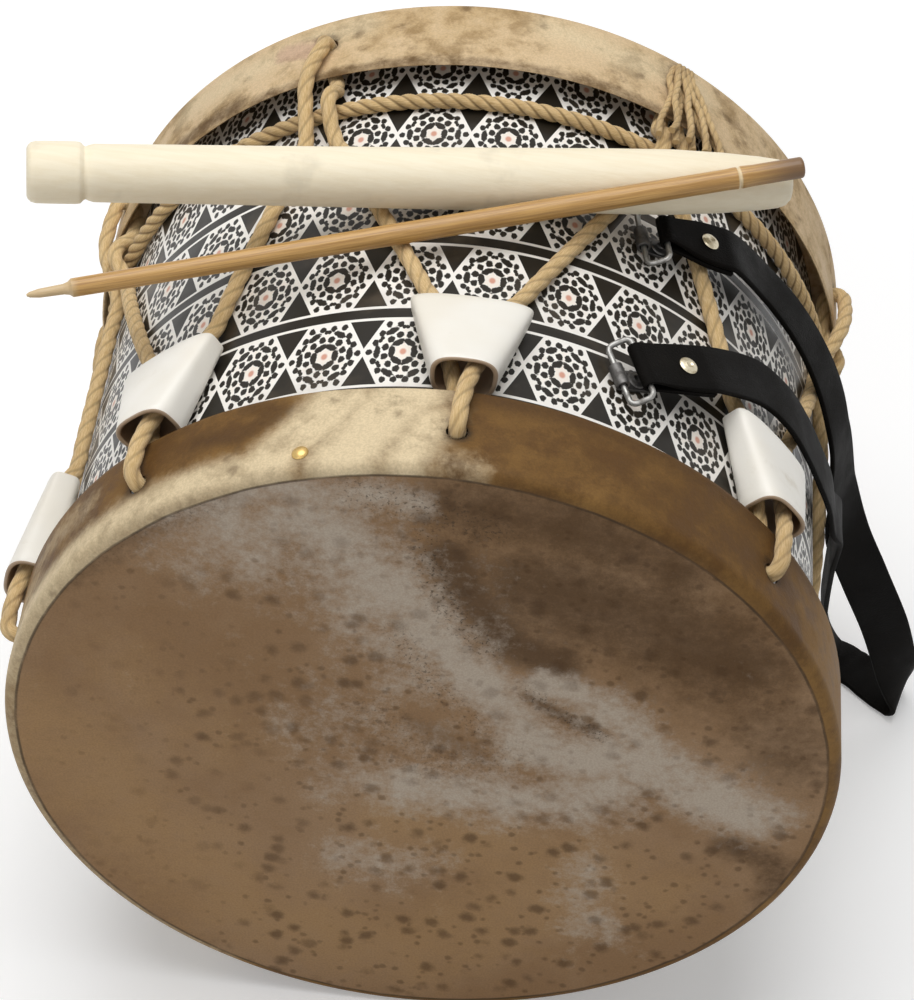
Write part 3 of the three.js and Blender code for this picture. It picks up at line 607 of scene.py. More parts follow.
# Each mark's name, colour, most cover, the strengths where it starts and is full, and how ragged it is
FACE_MARKS = (
    ("tan", HIDE_TAN, 0.8, 0.25, 1.0, 0.8), ("dusky", HIDE_DARK, 0.85, 0.15, 0.95, 0.9),
    ("streak", HIDE_GREY, 1.0, 0.22, 1.1, 1.7),
)
COLLAR_MARKS = (
    ("cream", HIDE_CREAM, 0.97, 0.15, 0.9, 0.75), ("pinkish", HIDE_PINK, 0.75, 0.3, 0.8, 1.0),
    # The smudge mark holds real smudges and also painted shade along the collars' edges by the shell, and a
    # painted hole
    ("smudge_and_shade", HIDE_DARK, 0.8, 0.25, 0.95, 1.0),
)


def rawhide_look(name, face_tones, collar_tones):
    look = Look(name, Specular_IOR_Level=0.16)
    place = look.place()
    x, _, z = look.split(place)
    radius = look.math("SQRT", x * x + z * z)
    broad = look.ramp(look.noise(place, 9, 5.0, 0.62), 0.38, 0.66)
    clouds = look.noise(place, 38, 6.0, 0.7)
    fine = look.noise(place, 190, 4.0, 0.7)
    breakup = fine * 0.6 + clouds - 0.8

    def marked(tone, marks):
        for mark, colour, cover, low, high, ragged in marks:
            strength = breakup * ragged + look.attribute(mark)
            tone = look.mix(look.ramp(strength, low, high, 0, cover), tone, colour)
        return tone

    face = marked(look.mix(broad, *face_tones), FACE_MARKS)
    uneven = look.noise(place, 150) * 0.5 - 0.25
    large = look.ramp(look.spots(place, 66) + uneven, 0.10, 0.40, 0.66, 0)
    small = look.ramp(look.spots(place, 125) + uneven, 0.10, 0.30, 0.5, 0)
    scattered = look.ramp(look.noise(place, 22, 2.0) + look.attribute("spotted"), 0.55, 1.05)
    scattered = scattered * look.ramp(look.attribute("streak"), 0.3, 0.9, 1, 0.45)
    face = look.mix(look.math("MAXIMUM", large, small) * scattered, face, HIDE_DARK)
    specks = look.ramp(look.noise(place, 520, 3.0, 0.65), 0.54, 0.64, 0, 0.8)
    face = look.mix(specks * look.attribute("specks"), face, HIDE_SOOT_AND_SHADE)
    mottle = look.ramp(clouds * 1.4 + broad * 0.3, 0.55, 1.15)
    collar = marked(look.mix(mottle, *collar_tones), COLLAR_MARKS)
    patchy = look.ramp(clouds, 0.47, 0.66, 0, 0.6)
    collar = look.mix(patchy, collar, look.mix(0.6, collar, HIDE_OCHRE))
    blotches = look.ramp(look.spots(place, 70) + uneven, 0.08, 0.34, 0.45, 0)
    collar = look.mix(blotches * look.ramp(clouds, 0.4, 0.6), collar, HIDE_DARK)
    wavy = look.noise(place, 30) * 0.0016 + radius
    tone = look.mix(look.ramp(wavy, RIM_R - RIM_BLUR, RIM_R + RIM_BLUR), face, collar)
    rim = look.ramp(abs(wavy - RIM_R), 0.0003, 0.0011, 1, 0) * look.ramp(clouds, 0.25, 0.6, 0.15, 0.75)
    tone = look.mix(rim, tone, HIDE_SOOT_AND_SHADE)
    # Dark halos round the lacing holes: stains and painted shade of the creases where the rope goes in
    stain_and_shade = look.ramp(breakup * 1.1 + look.attribute("stain_and_shade"), 0.3, 0.9, 0, 0.9)
    tone = look.mix(stain_and_shade, tone, HIDE_SOOT_AND_SHADE)
    pores = look.noise(place, 900, 2.0, 0.6)
    tone = look.mix(look.ramp(pores, 0.35, 0.65, 0.0, 0.14), tone, HIDE_SOOT_AND_SHADE)
    rough = look.ramp(clouds, 0.3, 0.7, 0.55, 0.75)
    return look.made(tone, rough, pores * 0.35 + look.noise(place, 120, 4.0), 0.0009, 0.4)


# Jute rope: u goes round the twisted strands and v along the rope
JUTE = (0.63, 0.42, 0.18)
JUTE_LIGHT = (0.82, 0.61, 0.33)
JUTE_DARK = (0.20, 0.115, 0.045)


def jute_look(name, strands, lay, groove_shade):
    look = Look(name, Sheen_Weight=0.15, Sheen_Roughness=0.5, Specular_IOR_Level=0.2)
    u, v, _ = look.split(look.place("UV"))
    fibres = look.noise(look.wound((u + v / lay) * math.tau, v * 25), 9, 5.0, 0.7)
    lobes = abs(look.math("COSINE", u * (math.pi * strands)))
    tone = look.mix(look.ramp(fibres, 0.35, 0.65), JUTE, JUTE_LIGHT)
    # Painted shade in the grooves between the strands
    tone = look.mix(look.ramp(lobes, 0.05, 0.6, groove_shade, 0), tone, JUTE_DARK)
    worn = look.noise(look.place(), 22, 4.0)
    tone = look.mix(look.ramp(worn, 0.5, 0.72, 0, 0.3), tone, JUTE_DARK)
    return look.made(tone, 0.9, fibres, 0.0012, 0.7)


# Plastic sleeves, whose outside takes up the first part of v and whose inside is darkened as painted shade
PLASTIC = (0.85, 0.82, 0.75)
PLASTIC_AGED = (0.80, 0.75, 0.65)
PLASTIC_GRIME = (0.45, 0.36, 0.22)
PLASTIC_INSIDE_SHADE = (0.30, 0.18, 0.085)


def plastic_look():
    look = Look("white_plastic", Specular_IOR_Level=0.45)
    place = look.place()
    grime = look.noise(place, 45, 5.0, 0.65)
    body = look.mix(look.ramp(look.noise(place, 14), 0.4, 0.7), PLASTIC, PLASTIC_AGED)
    body = look.mix(look.ramp(grime, 0.58, 0.80, 0, 0.35), body, PLASTIC_GRIME)
    _, v, _ = look.split(look.place("UV"))
    # Painted shade inside the sleeve: its inner wall is mixed towards dark brown
    inside = look.ramp(v, TUNER_LENGTH, TUNER_LENGTH + TUNER_WALL, 0, 0.85)
    rough = look.ramp(grime, 0.3, 0.7, 0.32, 0.5)
    return look.made(look.mix(inside, body, PLASTIC_INSIDE_SHADE), rough, look.noise(place, 300), 0.0003, 0.25)


# Leather, metals and woods
LEATHER = (0.0035, 0.0030, 0.0025)
LEATHER_WORN = (0.008, 0.007, 0.006)
# Each metal's colour, its tarnish and its roughness
METALS = {
    "steel": ((0.30, 0.295, 0.28), (0.11, 0.10, 0.09), 0.36),
    "plate_steel": ((0.13, 0.125, 0.12), (0.06, 0.055, 0.05), 0.42),
    "rivet_brass": ((0.60, 0.54, 0.40), (0.26, 0.20, 0.11), 0.25),
    "tack_brass": ((0.58, 0.40, 0.15), (0.22, 0.13, 0.05), 0.3),
}
SHELL_WOOD = ((0.60, 0.43, 0.25), (0.46, 0.30, 0.15))
BEATER_WOOD = ((0.90, 0.81, 0.62), (0.87, 0.77, 0.57))
CANE_DARK = (0.36, 0.185, 0.045)
CANE_LIGHT = (0.55, 0.32, 0.10)
CANE_BROWN_END = (0.14, 0.07, 0.027)
CANE_NODE = (0.80, 0.66, 0.42)
CANE_WHITTLED = (0.62, 0.47, 0.27)


def leather_look():
    look = Look("black_leather", Specular_IOR_Level=0.04)
    place = look.place()
    creases = look.ramp(look.spots(place, 620, feature="DISTANCE_TO_EDGE"), 0.0, 0.12)
    wear = look.noise(place, 30, 5.0, 0.65)
    tone = look.mix(look.ramp(wear, 0.45, 0.75), LEATHER, LEATHER_WORN)
    rough = look.ramp(wear, 0.3, 0.7, 0.5, 0.68)
    return look.made(tone, rough, creases + look.noise(place, 90), 0.0005, 0.3)


def metal_look(name):
    colour, tarnish, rough = METALS[name]
    look = Look(name, Metallic=1.0)
    place = look.place()
    age = look.noise(place, 230, 5.0, 0.65)
    tone = look.mix(look.ramp(age, 0.45, 0.72, 0, 0.8), colour, tarnish)
    rough = look.ramp(age, 0.3, 0.7, rough, rough + 0.25)
    return look.made(tone, rough, look.noise(place, 900, 2.0), 0.0002, 0.3)


def wood_look(name, colour, second, along, stretch, rough=0.6):
    """Wood with its grain along a direction, given as the share of detail across X, Y and Z."""
    look = Look(name, Specular_IOR_Level=0.35)
    place = look.place()
    drawn = look.scaled(place, tuple(share * stretch for share in along))
    grain = look.noise(drawn, 12, 6.0, 0.62)
    fine = look.noise(drawn, 70, 3.0, 0.6)
    tone = look.mix(look.ramp(grain, 0.38, 0.66), colour, second)
    stained = look.ramp(look.noise(place, 33, 4.0), 0.58, 0.75, 0, 0.3)
    tone = look.mix(stained, tone, tuple(c * 0.55 for c in second))
    rough = look.ramp(fine, 0.3, 0.7, rough - 0.08, rough + 0.1)
    return look.made(tone, rough, grain + fine, 0.0004, 0.3)


def cane_look():
    """Varnished bamboo: v goes along the cane in metres."""
    look = Look("cane_skin", Specular_IOR_Level=0.5, Coat_Weight=0.15)
    u, v, _ = look.split(look.place("UV"))
    streaks = look.noise(look.wound(u * math.tau, v * 5), 5, 6.0, 0.65)
    tone = look.mix(look.ramp(streaks, 0.35, 0.65), CANE_DARK, CANE_LIGHT)
    tone = look.mix(look.ramp(v, NODE_AT, NODE_AT + 0.03, 0, 0.9), tone, CANE_BROWN_END)
    tone = look.mix(look.ramp(abs(v - NODE_AT), 0.0005, 0.0013, 0.8, 0), tone, CANE_NODE)
    tone = look.mix(look.ramp(v, CANE_TIP - 0.002, CANE_TIP + 0.004, 0.8, 0), tone, CANE_WHITTLED)
    return look.made(tone, look.ramp(streaks, 0.3, 0.7, 0.32, 0.5), streaks, 0.0005, 0.35)


# Shell, its sheet and what is inside
def dress_inside(wood):
    for name in ("shell", "front_stiffener", "rear_stiffener", "front_hoop", "rear_hoop"):
        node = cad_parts[name]
        node.data.materials.clear()
        node.data.materials.append(wood)


def add_sheet():
    start = hoop_face + HOOP_DEPTH + CLEAR
    end = DEPTH - start
    angles = full_turn(ROUND_STEPS)
    inside = SHELL_R + CLEAR
    corners = [(inside, start), (wrap_r, start), (wrap_r, end), (inside, end)]
    rings = [[around(angle, radius, y) for radius, y in corners] for angle in angles]
    piece = skinned("patterned_sheet", rings, comes_round=True)
    return finished(piece, "drum", mosaic_look(), "mosaic_sheet", "shell_wrap")


# Heads
def wavering(angle, seed, height):
    """A slow uneven wave round the drum."""
    total = np.zeros_like(angle)
    for cycles in WAVE_CYCLES:
        total += np.sin(cycles * angle + seed * cycles * 1.7) / (1 + cycles / 6)
    return height * total / 2.2


def head_profile(reach):
    """(radius, distance from the face) from the middle of a head to the end of its collar."""
    flat = COLLAR_R - EDGE_R
    radii = np.linspace(POLE_R, flat, int((flat - POLE_R) / FACE_STEP))
    outer = [(radius, 0.0) for radius in radii]
    for turn in np.linspace(0, math.pi / 2, EDGE_STEPS + 1)[1:]:
        outer.append((flat + EDGE_R * math.sin(turn), EDGE_R * (1 - math.cos(turn))))
    for place in np.linspace(EDGE_R, reach - SKIN / 2, int((reach - EDGE_R) / COLLAR_STEP))[1:]:
        outer.append((COLLAR_R, place))
    lip = [(COLLAR_R - SKIN / 2, reach), (COLLAR_R - SKIN, reach - SKIN / 2)]
    inner_edge = EDGE_R - SKIN
    inner = [(COLLAR_R - SKIN, EDGE_R)]
    for turn in np.linspace(math.pi / 2, 0, 5)[1:]:
        inner.append((flat + inner_edge * math.sin(turn), EDGE_R - inner_edge * math.cos(turn)))
    inner.append((POLE_R, SKIN))
    return outer + lip + inner


def add_head(name, node, is_rear, reach, holes, seed, look):
    angles = full_turn(ROUND_STEPS)
    rings = []
    for radius, place in head_profile(reach):
        on_collar = np.clip((radius - (COLLAR_R - EDGE_R)) / EDGE_R, 0, 1)
        upper = np.clip(np.cos(angles) + 0.8, 0, 1)
        r = radius + on_collar * upper * wavering(angles, seed, WAVE)
        y = place + wavering(angles, seed + 4, 2.2 * WAVE) * np.clip(place / reach, 0, 1) ** 3
        for hole in holes:
            away = np.hypot(COLLAR_R * np.sin((angles - hole) / 2) * 2, place - HOLE_INSET)
            r = r - on_collar * PUCKER * np.exp(-((away / PUCKER_R) ** 2))
        rings.append(around(angles, r, DEPTH - y if is_rear else y))
    piece = skinned(name, rings, crease=60)
    pierce(piece, holes, DEPTH - HOLE_INSET if is_rear else HOLE_INSET)
    return finished(piece, "drum", look, "rawhide", node)


def pierce(piece, angles, y):
    """Cuts the lacing holes through a head's collar."""
    work = bmesh.new()
    for angle in angles:
        place = Matrix.Rotation(angle, 4, "Y") @ Matrix.Translation((0, 0, COLLAR_R))
        place = Matrix.Translation((0, y, 0)) @ place
        bmesh.ops.create_cone(
            work, cap_ends=True, segments=28, radius1=HOLE_R, radius2=HOLE_R, depth=4 * HOLE_R, matrix=place)
    mesh = bpy.data.meshes.new("hole_cutters")
    work.to_mesh(mesh)
    work.free()
    cutters = linked("hole_cutters", mesh)
    holes = piece.modifiers.new("holes", "BOOLEAN")
    holes.object = cutters
    holes.solver = "EXACT"
    cut = bpy.data.meshes.new_from_object(piece.evaluated_get(bpy.context.evaluated_depsgraph_get()))
    piece.modifiers.clear()
    piece.data = cut
    bpy.data.objects.remove(cutters)


def points_of(piece):
    values = np.zeros(len(piece.data.vertices) * 3, np.float32)
    piece.data.vertices.foreach_get("co", values)
    return values.reshape(-1, 3).astype(float)


def paint(piece, name, values):
    mark = piece.data.attributes.new(name, "FLOAT", "POINT")
    mark.data.foreach_set("value", np.clip(values, 0, 1).astype(np.float32))


def near_line(places, stops, width):
    """How close places are to a line of stops: 1 on it, fading over the width."""
    stops = np.asarray(stops, float)
    nearest = np.full(len(places), np.inf)
    for a, b in zip(stops[:-1], stops[1:]):
        run = b - a
        share = np.clip((places - a) @ run / (run @ run), 0, 1)
        nearest = np.minimum(nearest, np.linalg.norm(places - a - share[:, None] * run, axis=1))
    return np.exp(-((nearest / width) ** 2))


# Marks on the front head as (x, z) places in millimetres, each with its width and strength
STREAKS = (
    ([(-67, 165), (-49, 157), (-30, 137), (-13, 117), (4, 96)], 28, 0.95),
    ([(4, 96), (21, 74), (36, 52), (51, 34), (74, 20)], 19, 1.0),
    ([(51, 30), (74, 18), (101, 18), (129, 10), (156, -5), (168, -13)], 26, 1.0),
    ([(-110, 166), (-84, 151), (-51, 150), (-24, 122), (0, 84)], 50, 0.72),
    ([(-92, 177), (-62, 186), (-32, 187), (-12, 184)], 15, 0.8),
    ([(56, 70), (75, 63), (97, 52), (112, 30)], 16, 0.9),
    ([(0, -20), (22, -22), (50, -23), (77, -18), (98, -6)], 26, 0.9),
    ([(-40, -20), (-13, -18)], 26, 0.6),
    ([(-30, -80), (-14, -88), (6, -80)], 26, 0.6),
    ([(90, -75), (100, -127)], 26, 0.55),
    ([(-45, 30), (20, -5)], 45, 0.5),
)
DUSKY = (
    ([(6, 152), (15, 131), (27, 112), (42, 95), (62, 86)], 17, 1.0),
    ([(10, 186), (50, 184), (111, 160)], 30, 0.8),
    ([(50, 135), (95, 125), (145, 100)], 45, 0.85),
    ([(60, 120), (113, 101), (162, 69), (187, 30)], 36, 0.62),
    ([(50, 60), (66, 49), (88, 36)], 6, 0.8),
    ([(160, -40), (188, -50), (190, -90)], 13, 0.75),
    ([(-180, 110), (-140, 148), (-100, 176)], 13, 0.62),
    ([(-2, 30), (30, 10)], 12, 0.5),
)
TAN = (
    ([(-185, -5), (-147, -70), (-89, -132), (1, -161), (83, -97)], 55, 0.8),
    ([(-150, 50), (-100, 0)], 50, 0.55),
    ([(0, -50), (60, -70), (120, -85)], 50, 0.8),
)
DARK_SPECKS = (
    ([(-7, 163), (2, 130), (13, 109), (28, 91)], 9, 1.0),
    ([(-15, 93), (0, 67), (17, 45), (29, 30)], 9, 0.75),
    ([(-26, 38), (9, 1), (42, 11)], 16, 0.5),
    ([(-37, 189), (-2, 182), (24, 173)], 12, 0.8),
    ([(-180, 114), (-143, 150), (-110, 173)], 14, 0.5),
    ([(50, 64), (66, 49), (88, 36)], 6, 0.9),
)
# Marks on the collars as (degrees round the drum, y in millimetres) places
FRONT_CREAM = (
    ([(-22, 10), (-18, 26), (-14, 44)], 17, 1.0),
    ([(-13, 6), (-9, 30), (-5, 50)], 22, 1.0),
    ([(-5, 4), (-2, 30)], 14, 0.9),
    ([(-42, 8), (-32, 8), (-22, 6)], 12, 0.9),
    ([(-80, 8), (-62, 6), (-52, 7), (-42, 8)], 14, 0.8),
    ([(-1, 6), (4, 4)], 11, 0.45),
    ([(-150, 14), (-110, 12), (-70, 12)], 30, 0.55),
    ([(-70, 40), (-54, 36)], 16, 0.42),
)
FRONT_SMUDGES_AND_SHADE = (
    ([(-34, 36), (-27, 30), (-22, 42), (-27, 49)], 9, 0.8),
    ([(-44, 46), (-36, 49)], 8, 0.6),
    # Painted shade along the front collar's rear edge, where it meets the shell on the right
    ([(4, 50), (20, 49), (38, 50), (60, 50)], 12, 0.75),
    ([(16, 22), (34, 30), (50, 24)], 12, 0.45),
)
REAR_CREAM = (
    ([(-52, 335), (-36, 330), (-20, 338)], 16, 0.62),
    ([(8, 336), (20, 330), (32, 334)], 16, 0.66),
)
REAR_PINK = (([(-32, 332), (-27, 326)], 10, 0.9),)
REAR_SMUDGES_AND_SHADE = (
    ([(-62, 312), (-52, 306), (-40, 304)], 9, 0.8),
    # Painted shade along the rear collar's inner edge, where it meets the shell
    ([(-36, 300), (0, 300), (36, 300)], 7, 0.7),
    ([(34, 330), (46, 322)], 10, 0.4),
    # A painted hole by the frayed end: painted shade of a hole that the mesh does not have
    ([(27.8, 340), (28.4, 341)], 7.5, 1.0),
)
FRONT_FACE = {"streak": STREAKS, "dusky": DUSKY, "tan": TAN, "specks": DARK_SPECKS}
FRONT_SIDE = {"cream": FRONT_CREAM, "smudge_and_shade": FRONT_SMUDGES_AND_SHADE}
REAR_FACE = {"streak": STREAKS, "dusky": DUSKY, "tan": TAN}
REAR_SIDE = {"cream": REAR_CREAM, "pinkish": REAR_PINK, "smudge_and_shade": REAR_SMUDGES_AND_SHADE}


def most(places, marks):
    """The strongest of several marks at each place."""
    return np.max([strength * near_line(places, stops, width) for stops, width, strength in marks], axis=0)


def unrolled(degrees, y):
    """Lengths round and along the drum, in millimetres."""
    return np.stack([np.radians(degrees) * COLLAR_R / MM, y], axis=-1)


def paint_head(piece, holes, y, axes, face, cover, side, spotted):
    """Paints a head's marks as values at its points, those of its face along two axes."""
    points = points_of(piece)
    flat = points[:, axes]
    angle = np.arctan2(points[:, 0], points[:, 2])
    rolled_out = unrolled(np.degrees(angle), points[:, 1] / MM)
    for mark, marks in face.items():
        paint(piece, mark, cover * most(flat / MM, marks))
    for mark, marks in side.items():
        paint(piece, mark, most(rolled_out, [(unrolled(*zip(*stops)), *rest) for stops, *rest in marks]))
    middle, slope = spotted
    paint(piece, "spotted", middle + slope * flat[:, 0] / COLLAR_R)
    paint(piece, "stain_and_shade", hole_stains_and_shade(points, angle, holes, y))


# Dark halos round the lacing holes: stains and painted shade of the creases where the rope goes through
def hole_stains_and_shade(points, angle, holes, y):
    stain_and_shade = np.zeros(len(points))
    for hole in holes:
        away = np.hypot(2 * COLLAR_R * np.sin((angle - hole) / 2), points[:, 1] - y)
        stain_and_shade = np.maximum(stain_and_shade, STAIN_AND_SHADE * np.exp(-((away / STAIN_AND_SHADE_R) ** 2)))
    return stain_and_shade


# Lacing rope
def leg_angle(k, side, y):
    """The angle at y of the lacing's leg on one side of a sleeve."""
    front = TUNER_ANGLES[k]
    wrap = WRAP_ANGLES[k] if side > 0 else WRAP_ANGLES[k - 1] - (math.tau if k == 0 else 0)
    gathered = wrap - side * WRAP_HALF / on_shell
    neck = front + side * TUNER_NECK / on_shell
    mouth = front + side * mouth_half / on_shell
    places = [front_turn_y, neck_y, leave_tuner, gather_y, rear_edge, rear_turn_y]
    return np.interp(y, places, [front, neck, mouth, gathered, gathered, wrap])


def shell_stations(start, end):
    return [(y, on_shell) for y in np.linspace(start, end, LEG_STATIONS)]


# Stops of the lacing's legs as (y, radius)
MOUTH = [(tuner_rear, in_tuner), (leave_tuner, in_tuner)]
OVER_FRONT = [(front_turn_y, over_skin), (neck_y, over_skin), (tuner_rear - SETTLE, in_tuner), *MOUTH]
UNDER_FRONT = [(front_turn_y, under_skin), (FRONT_COLLAR, under_skin), (TUNER_FRONT, in_tuner), *MOUTH]
OVER_REAR = [
    *shell_stations(land_on_shell, gather_y - 2 * ROPE_R),
    (skin_lip, over_skin), (rear_turn_y, over_skin),
]
OVER_BINDING = [
    *shell_stations(land_on_shell, binding_y - ROPE_R - CLIMB),
    (binding_y - ROPE_R, over_binding), (binding_y + ROPE_R, over_binding), (skin_lip, under_skin),
]
UNDER_REAR = [*OVER_BINDING, (rear_turn_y, under_skin)]
TUCKED_REAR = [*OVER_BINDING, (rear_edge + TUCK, under_skin)]


def hole_turn(angle, turn_y, outward, sweep):
    """Stops of the lacing's turn through a hole."""
    stops = []
    for turn in np.radians(np.arange(30, sweep, 30)):
        y = turn_y + outward * turn_r * math.sin(turn)
        stops.append((angle, turn_middle - turn_r * math.cos(turn), y))
    return stops


def lacing_route():
    """Stops of the lacing as (angle, radius, y)."""
    order = [*range(1, len(TUNER_ANGLES)), 0]
    stops = []
    for k in order:
        is_first = k == order[0]
        is_last = k == order[-1]
        lap = math.tau if k == 0 else 0
        rear_in = TUCKED_REAR if is_first else UNDER_REAR
        rear_out = UNDER_REAR if is_last else OVER_REAR
        inward = [(leg_angle(k, -1, y) + lap, r, y) for y, r in [*UNDER_FRONT, *rear_in]]
        stops += inward[::-1]
        stops += hole_turn(TUNER_ANGLES[k] + lap, front_turn_y, -1, 180)
        stops += [(leg_angle(k, 1, y) + lap, r, y) for y, r in [*OVER_FRONT, *rear_out]]
        if not is_last:
            stops += hole_turn(WRAP_ANGLES[k], rear_turn_y, 1, 180)[::-1]
    knot = WRAP_ANGLES[0] + math.tau
    stops += hole_turn(knot, rear_turn_y, 1, 90)
    stops += [(knot, turn_middle, rear_turn_y + turn_r), (knot, COLLAR_R + ROPE_GAP, rear_turn_y + turn_r)]
    return np.array(stops)


def add_ropes():
    stops = lacing_route()
    stops[:, 0] *= on_shell
    line = smooth(stops, ROPE_STEP)
    line = around(line[:, 0] / on_shell, line[:, 1], line[:, 2])
    lacing = twisted("lacing", line, ROPE_R, ROPE_STRANDS, LACING_LAY, LACING_GROOVE)
    look = jute_look("jute_lacing", ROPE_STRANDS, LACING_LAY, LACING_SHADE)
    finished(lacing, "drum", look, "jute", "lacing_rope")
    length = math.tau * on_shell
    lay = length / round(length / BINDING_LAY)
    angles = full_turn(int(length / ROPE_STEP))
    ring = around(angles, on_shell, binding_y)
    outward = around(angles, 1.0, 0.0)
    binding = twisted("binding", ring, ROPE_R, ROPE_STRANDS, lay, BINDING_GROOVE, outward, comes_round=True)
    look = jute_look("jute_binding", ROPE_STRANDS, lay, BINDING_SHADE)
    finished(binding, "drum", look, "jute", "binding_rope")


# Frayed end of the lacing
def add_tassel():
    """Loose strands that come out of a hole in the rear collar and fan out over the binding rope."""
    jute = jute_look("jute_yarn", YARNS, STRAND_LAY, STRAND_SHADE)
    hole_y = DEPTH - HOLE_INSET
    start = COLLAR_R + ROPE_GAP + CLEAR + TASSEL / 2
    over = over_binding + ROPE_R + CLEAR + TASSEL / 2
    parts = []
    for i in range(STRANDS):
        share = (i + 0.5) / STRANDS * 2 - 1
        layer = (1 if i % 2 else -1) * STRAND_R
        foot = TASSEL_ASIDE + share * TASSEL_SPREAD / 2
        wobble = random.uniform(-TASSEL_WOBBLE, TASSEL_WOBBLE, 4)
        stops = [
            (share * TASSEL_STEM[0], COLLAR_R - 0.002, hole_y + 0.001),
            (share * TASSEL_STEM[1], start + 0.5 * layer, hole_y + 0.009),
            (share * TASSEL_STEM[2] + wobble[0] / 3, start + layer + 0.001, hole_y - 0.002),
            (0.42 * foot + wobble[1], start + layer + 0.0012, rear_edge + 0.016),
            (0.64 * foot + wobble[2], over + layer - 0.0012, rear_edge + 0.004),
            (0.86 * foot + wobble[3], over + layer, binding_y + ROPE_R),
            (foot, over + layer - 0.0006, binding_y - TASSEL_PAST + random.uniform(0, TASSEL_UNEVEN)),
        ]
        line = smooth(stops, TASSEL_STEP)
        line = around(WRAP_ANGLES[0] + line[:, 0] / over, line[:, 1], line[:, 2])
        strand = twisted(f"strand_{i}", line, STRAND_R, YARNS, STRAND_LAY, STRAND_GROOVE, sides=STRAND_SIDES)
        parts.append(strand)
    tassel = merged("tassel", parts)
    return finished(tassel, "drum", jute, "jute", "rope_tassel")


def merged(name, parts):
    """Several new pieces joined in one."""
    work = bmesh.new()
    for part in parts:
        work.from_mesh(part.data)
        bpy.data.objects.remove(part)
    mesh = bpy.data.meshes.new(name)
    work.to_mesh(mesh)
    work.free()
    return linked(name, mesh)


# Tuner sleeves
def sleeve_section(angle, share, inset, y):
    width = np.interp(share, (0, 1), TUNER_WIDTHS) / 2 - inset
    height = np.interp(share, (0, 1), TUNER_HEIGHTS) / 2 - inset
    square = np.interp(share, (0, 1), TUNER_SQUARE)
    turn = full_turn(TUNER_SIDES)
    across = width * np.sign(np.cos(turn)) * np.abs(np.cos(turn)) ** (2 / square)
    up = height * np.sign(np.sin(turn)) * np.abs(np.sin(turn)) ** (2 / square)
    return around(angle + across / tuner_seat, tuner_seat + inset + height + up, y)


def sleeve_stations():
    """(share of the length, depth in the wall, y) along the outside, round the rear lip and back inside."""
    lip = TUNER_WALL / 2
    start = TUNER_FRONT + lip * 0.6
    length = TUNER_LENGTH - lip * 1.2
    shares = np.linspace(0, 1, TUNER_RINGS)
    outside = [(share, 0, start + length * share) for share in shares]
    inside = [(share, TUNER_WALL, start + length * share) for share in shares[::-1]]
    rounding = ((lip * 0.35, lip * 0.15), (lip, 0), (TUNER_WALL - lip * 0.35, lip * 0.15))
    rear_lip = [(1, depth, tuner_rear - inward) for depth, inward in rounding]
    front_lip = [(0, depth, TUNER_FRONT + inward) for depth, inward in rounding[::-1]]
    return [*outside, *rear_lip, *inside, *front_lip]


def add_sleeves():
    look = plastic_look()
    for k, angle in enumerate(TUNER_ANGLES):
        rings = [sleeve_section(angle, *station) for station in sleeve_stations()]
        piece = skinned(f"sleeve_{k + 1}", rings, comes_round=True, crease=50)
        finished(piece, f"tuner_{k + 1}", look, "white_plastic", f"tuner_sleeve_{k + 1}")


# Strap and its fittings
def basis(x, y, z, place):
    return Matrix.Translation(place) @ Matrix((x, y, z)).transposed().to_4x4()


def strap_end(which):
    """Frames of an anchor and of the strap at its ring's bar: along, across and out."""
    end = STRAP_ENDS[which]
    angle = math.radians(end["angle"])
    heading = math.radians(end["heading"])
    tangent = Vector((math.cos(angle), 0, -math.sin(angle)))
    axis = Vector((0, 1, 0))
    along = tangent * math.cos(heading) + axis * math.sin(heading)
    across = axis * math.cos(heading) - tangent * math.sin(heading)
    out = Vector(around(angle, 1.0, 0.0))
    seat = basis(along, across, out, Vector(around(angle, wrap_r + CLEAR, end["y"])))
    anchor = seat @ Matrix.Rotation(math.pi, 4, "Z")
    swing = Matrix.Rotation(-math.radians(end["rise"]), 4, "Y")
    bar = seat @ Matrix.Translation((-eye_reach, 0, eye_rise)) @ swing @ Vector((RING_LENGTH, 0, 0))
    way = across.cross(Vector((bar.x, 0, bar.z))).normalized()
    return anchor, basis(way, across, way.cross(across), bar)


bars = {which: np.array(strap_end(which)[1].translation) for which in STRAP_ENDS}


def end_stops(which):
    """The strap's lap, its turn round the ring's bar and its start, with the direction across it."""
    _, place = strap_end(which)
    layer = (STRAP + LAP_GAP) / 2
    flat = RIVET_HEAD_R + STRAP
    ease_at = loop_r * 2
    ease_out = (2 * loop_r + layer) / 3
    stops = [(LAP_LENGTH, -layer), (RIVET_AT + flat, -layer), (RIVET_AT - flat, -layer), (ease_at, -ease_out)]
    for turn in np.linspace(-math.pi / 2, -1.5 * math.pi, LOOP_STEPS + 1):
        stops.append((loop_r * math.cos(turn), loop_r * math.sin(turn)))
    stops += [(ease_at, ease_out), (RIVET_AT - flat, layer), (RIVET_AT + flat, layer), (LAP_LENGTH, layer)]
    across = np.array(place.col[1][:3])
    return [(np.array(place @ Vector((along, 0, out))), across) for along, out in stops]


def strap_section(point, way, guide, corners):
    """A ring of points round the strap, which is narrower and thinner where it is folded round its rings."""
    for which, bar in bars.items():
        folded = math.exp(-((np.linalg.norm(point - bar) / FOLD_REACH) ** 2))
        corners = corners * (1 - STRAP_ENDS[which]["pinch"] * folded, 1 - SKIVE * folded)
    across = guide - way * way.dot(guide)
    across /= np.linalg.norm(across)
    out = np.cross(way, across)
    ring = point + corners[:, :1] * across + corners[:, 1:] * out
    lowest = ring[:, 2].min()
    ring[:, 2] += max(0, cad_floor + CLEAR - lowest)
    return ring


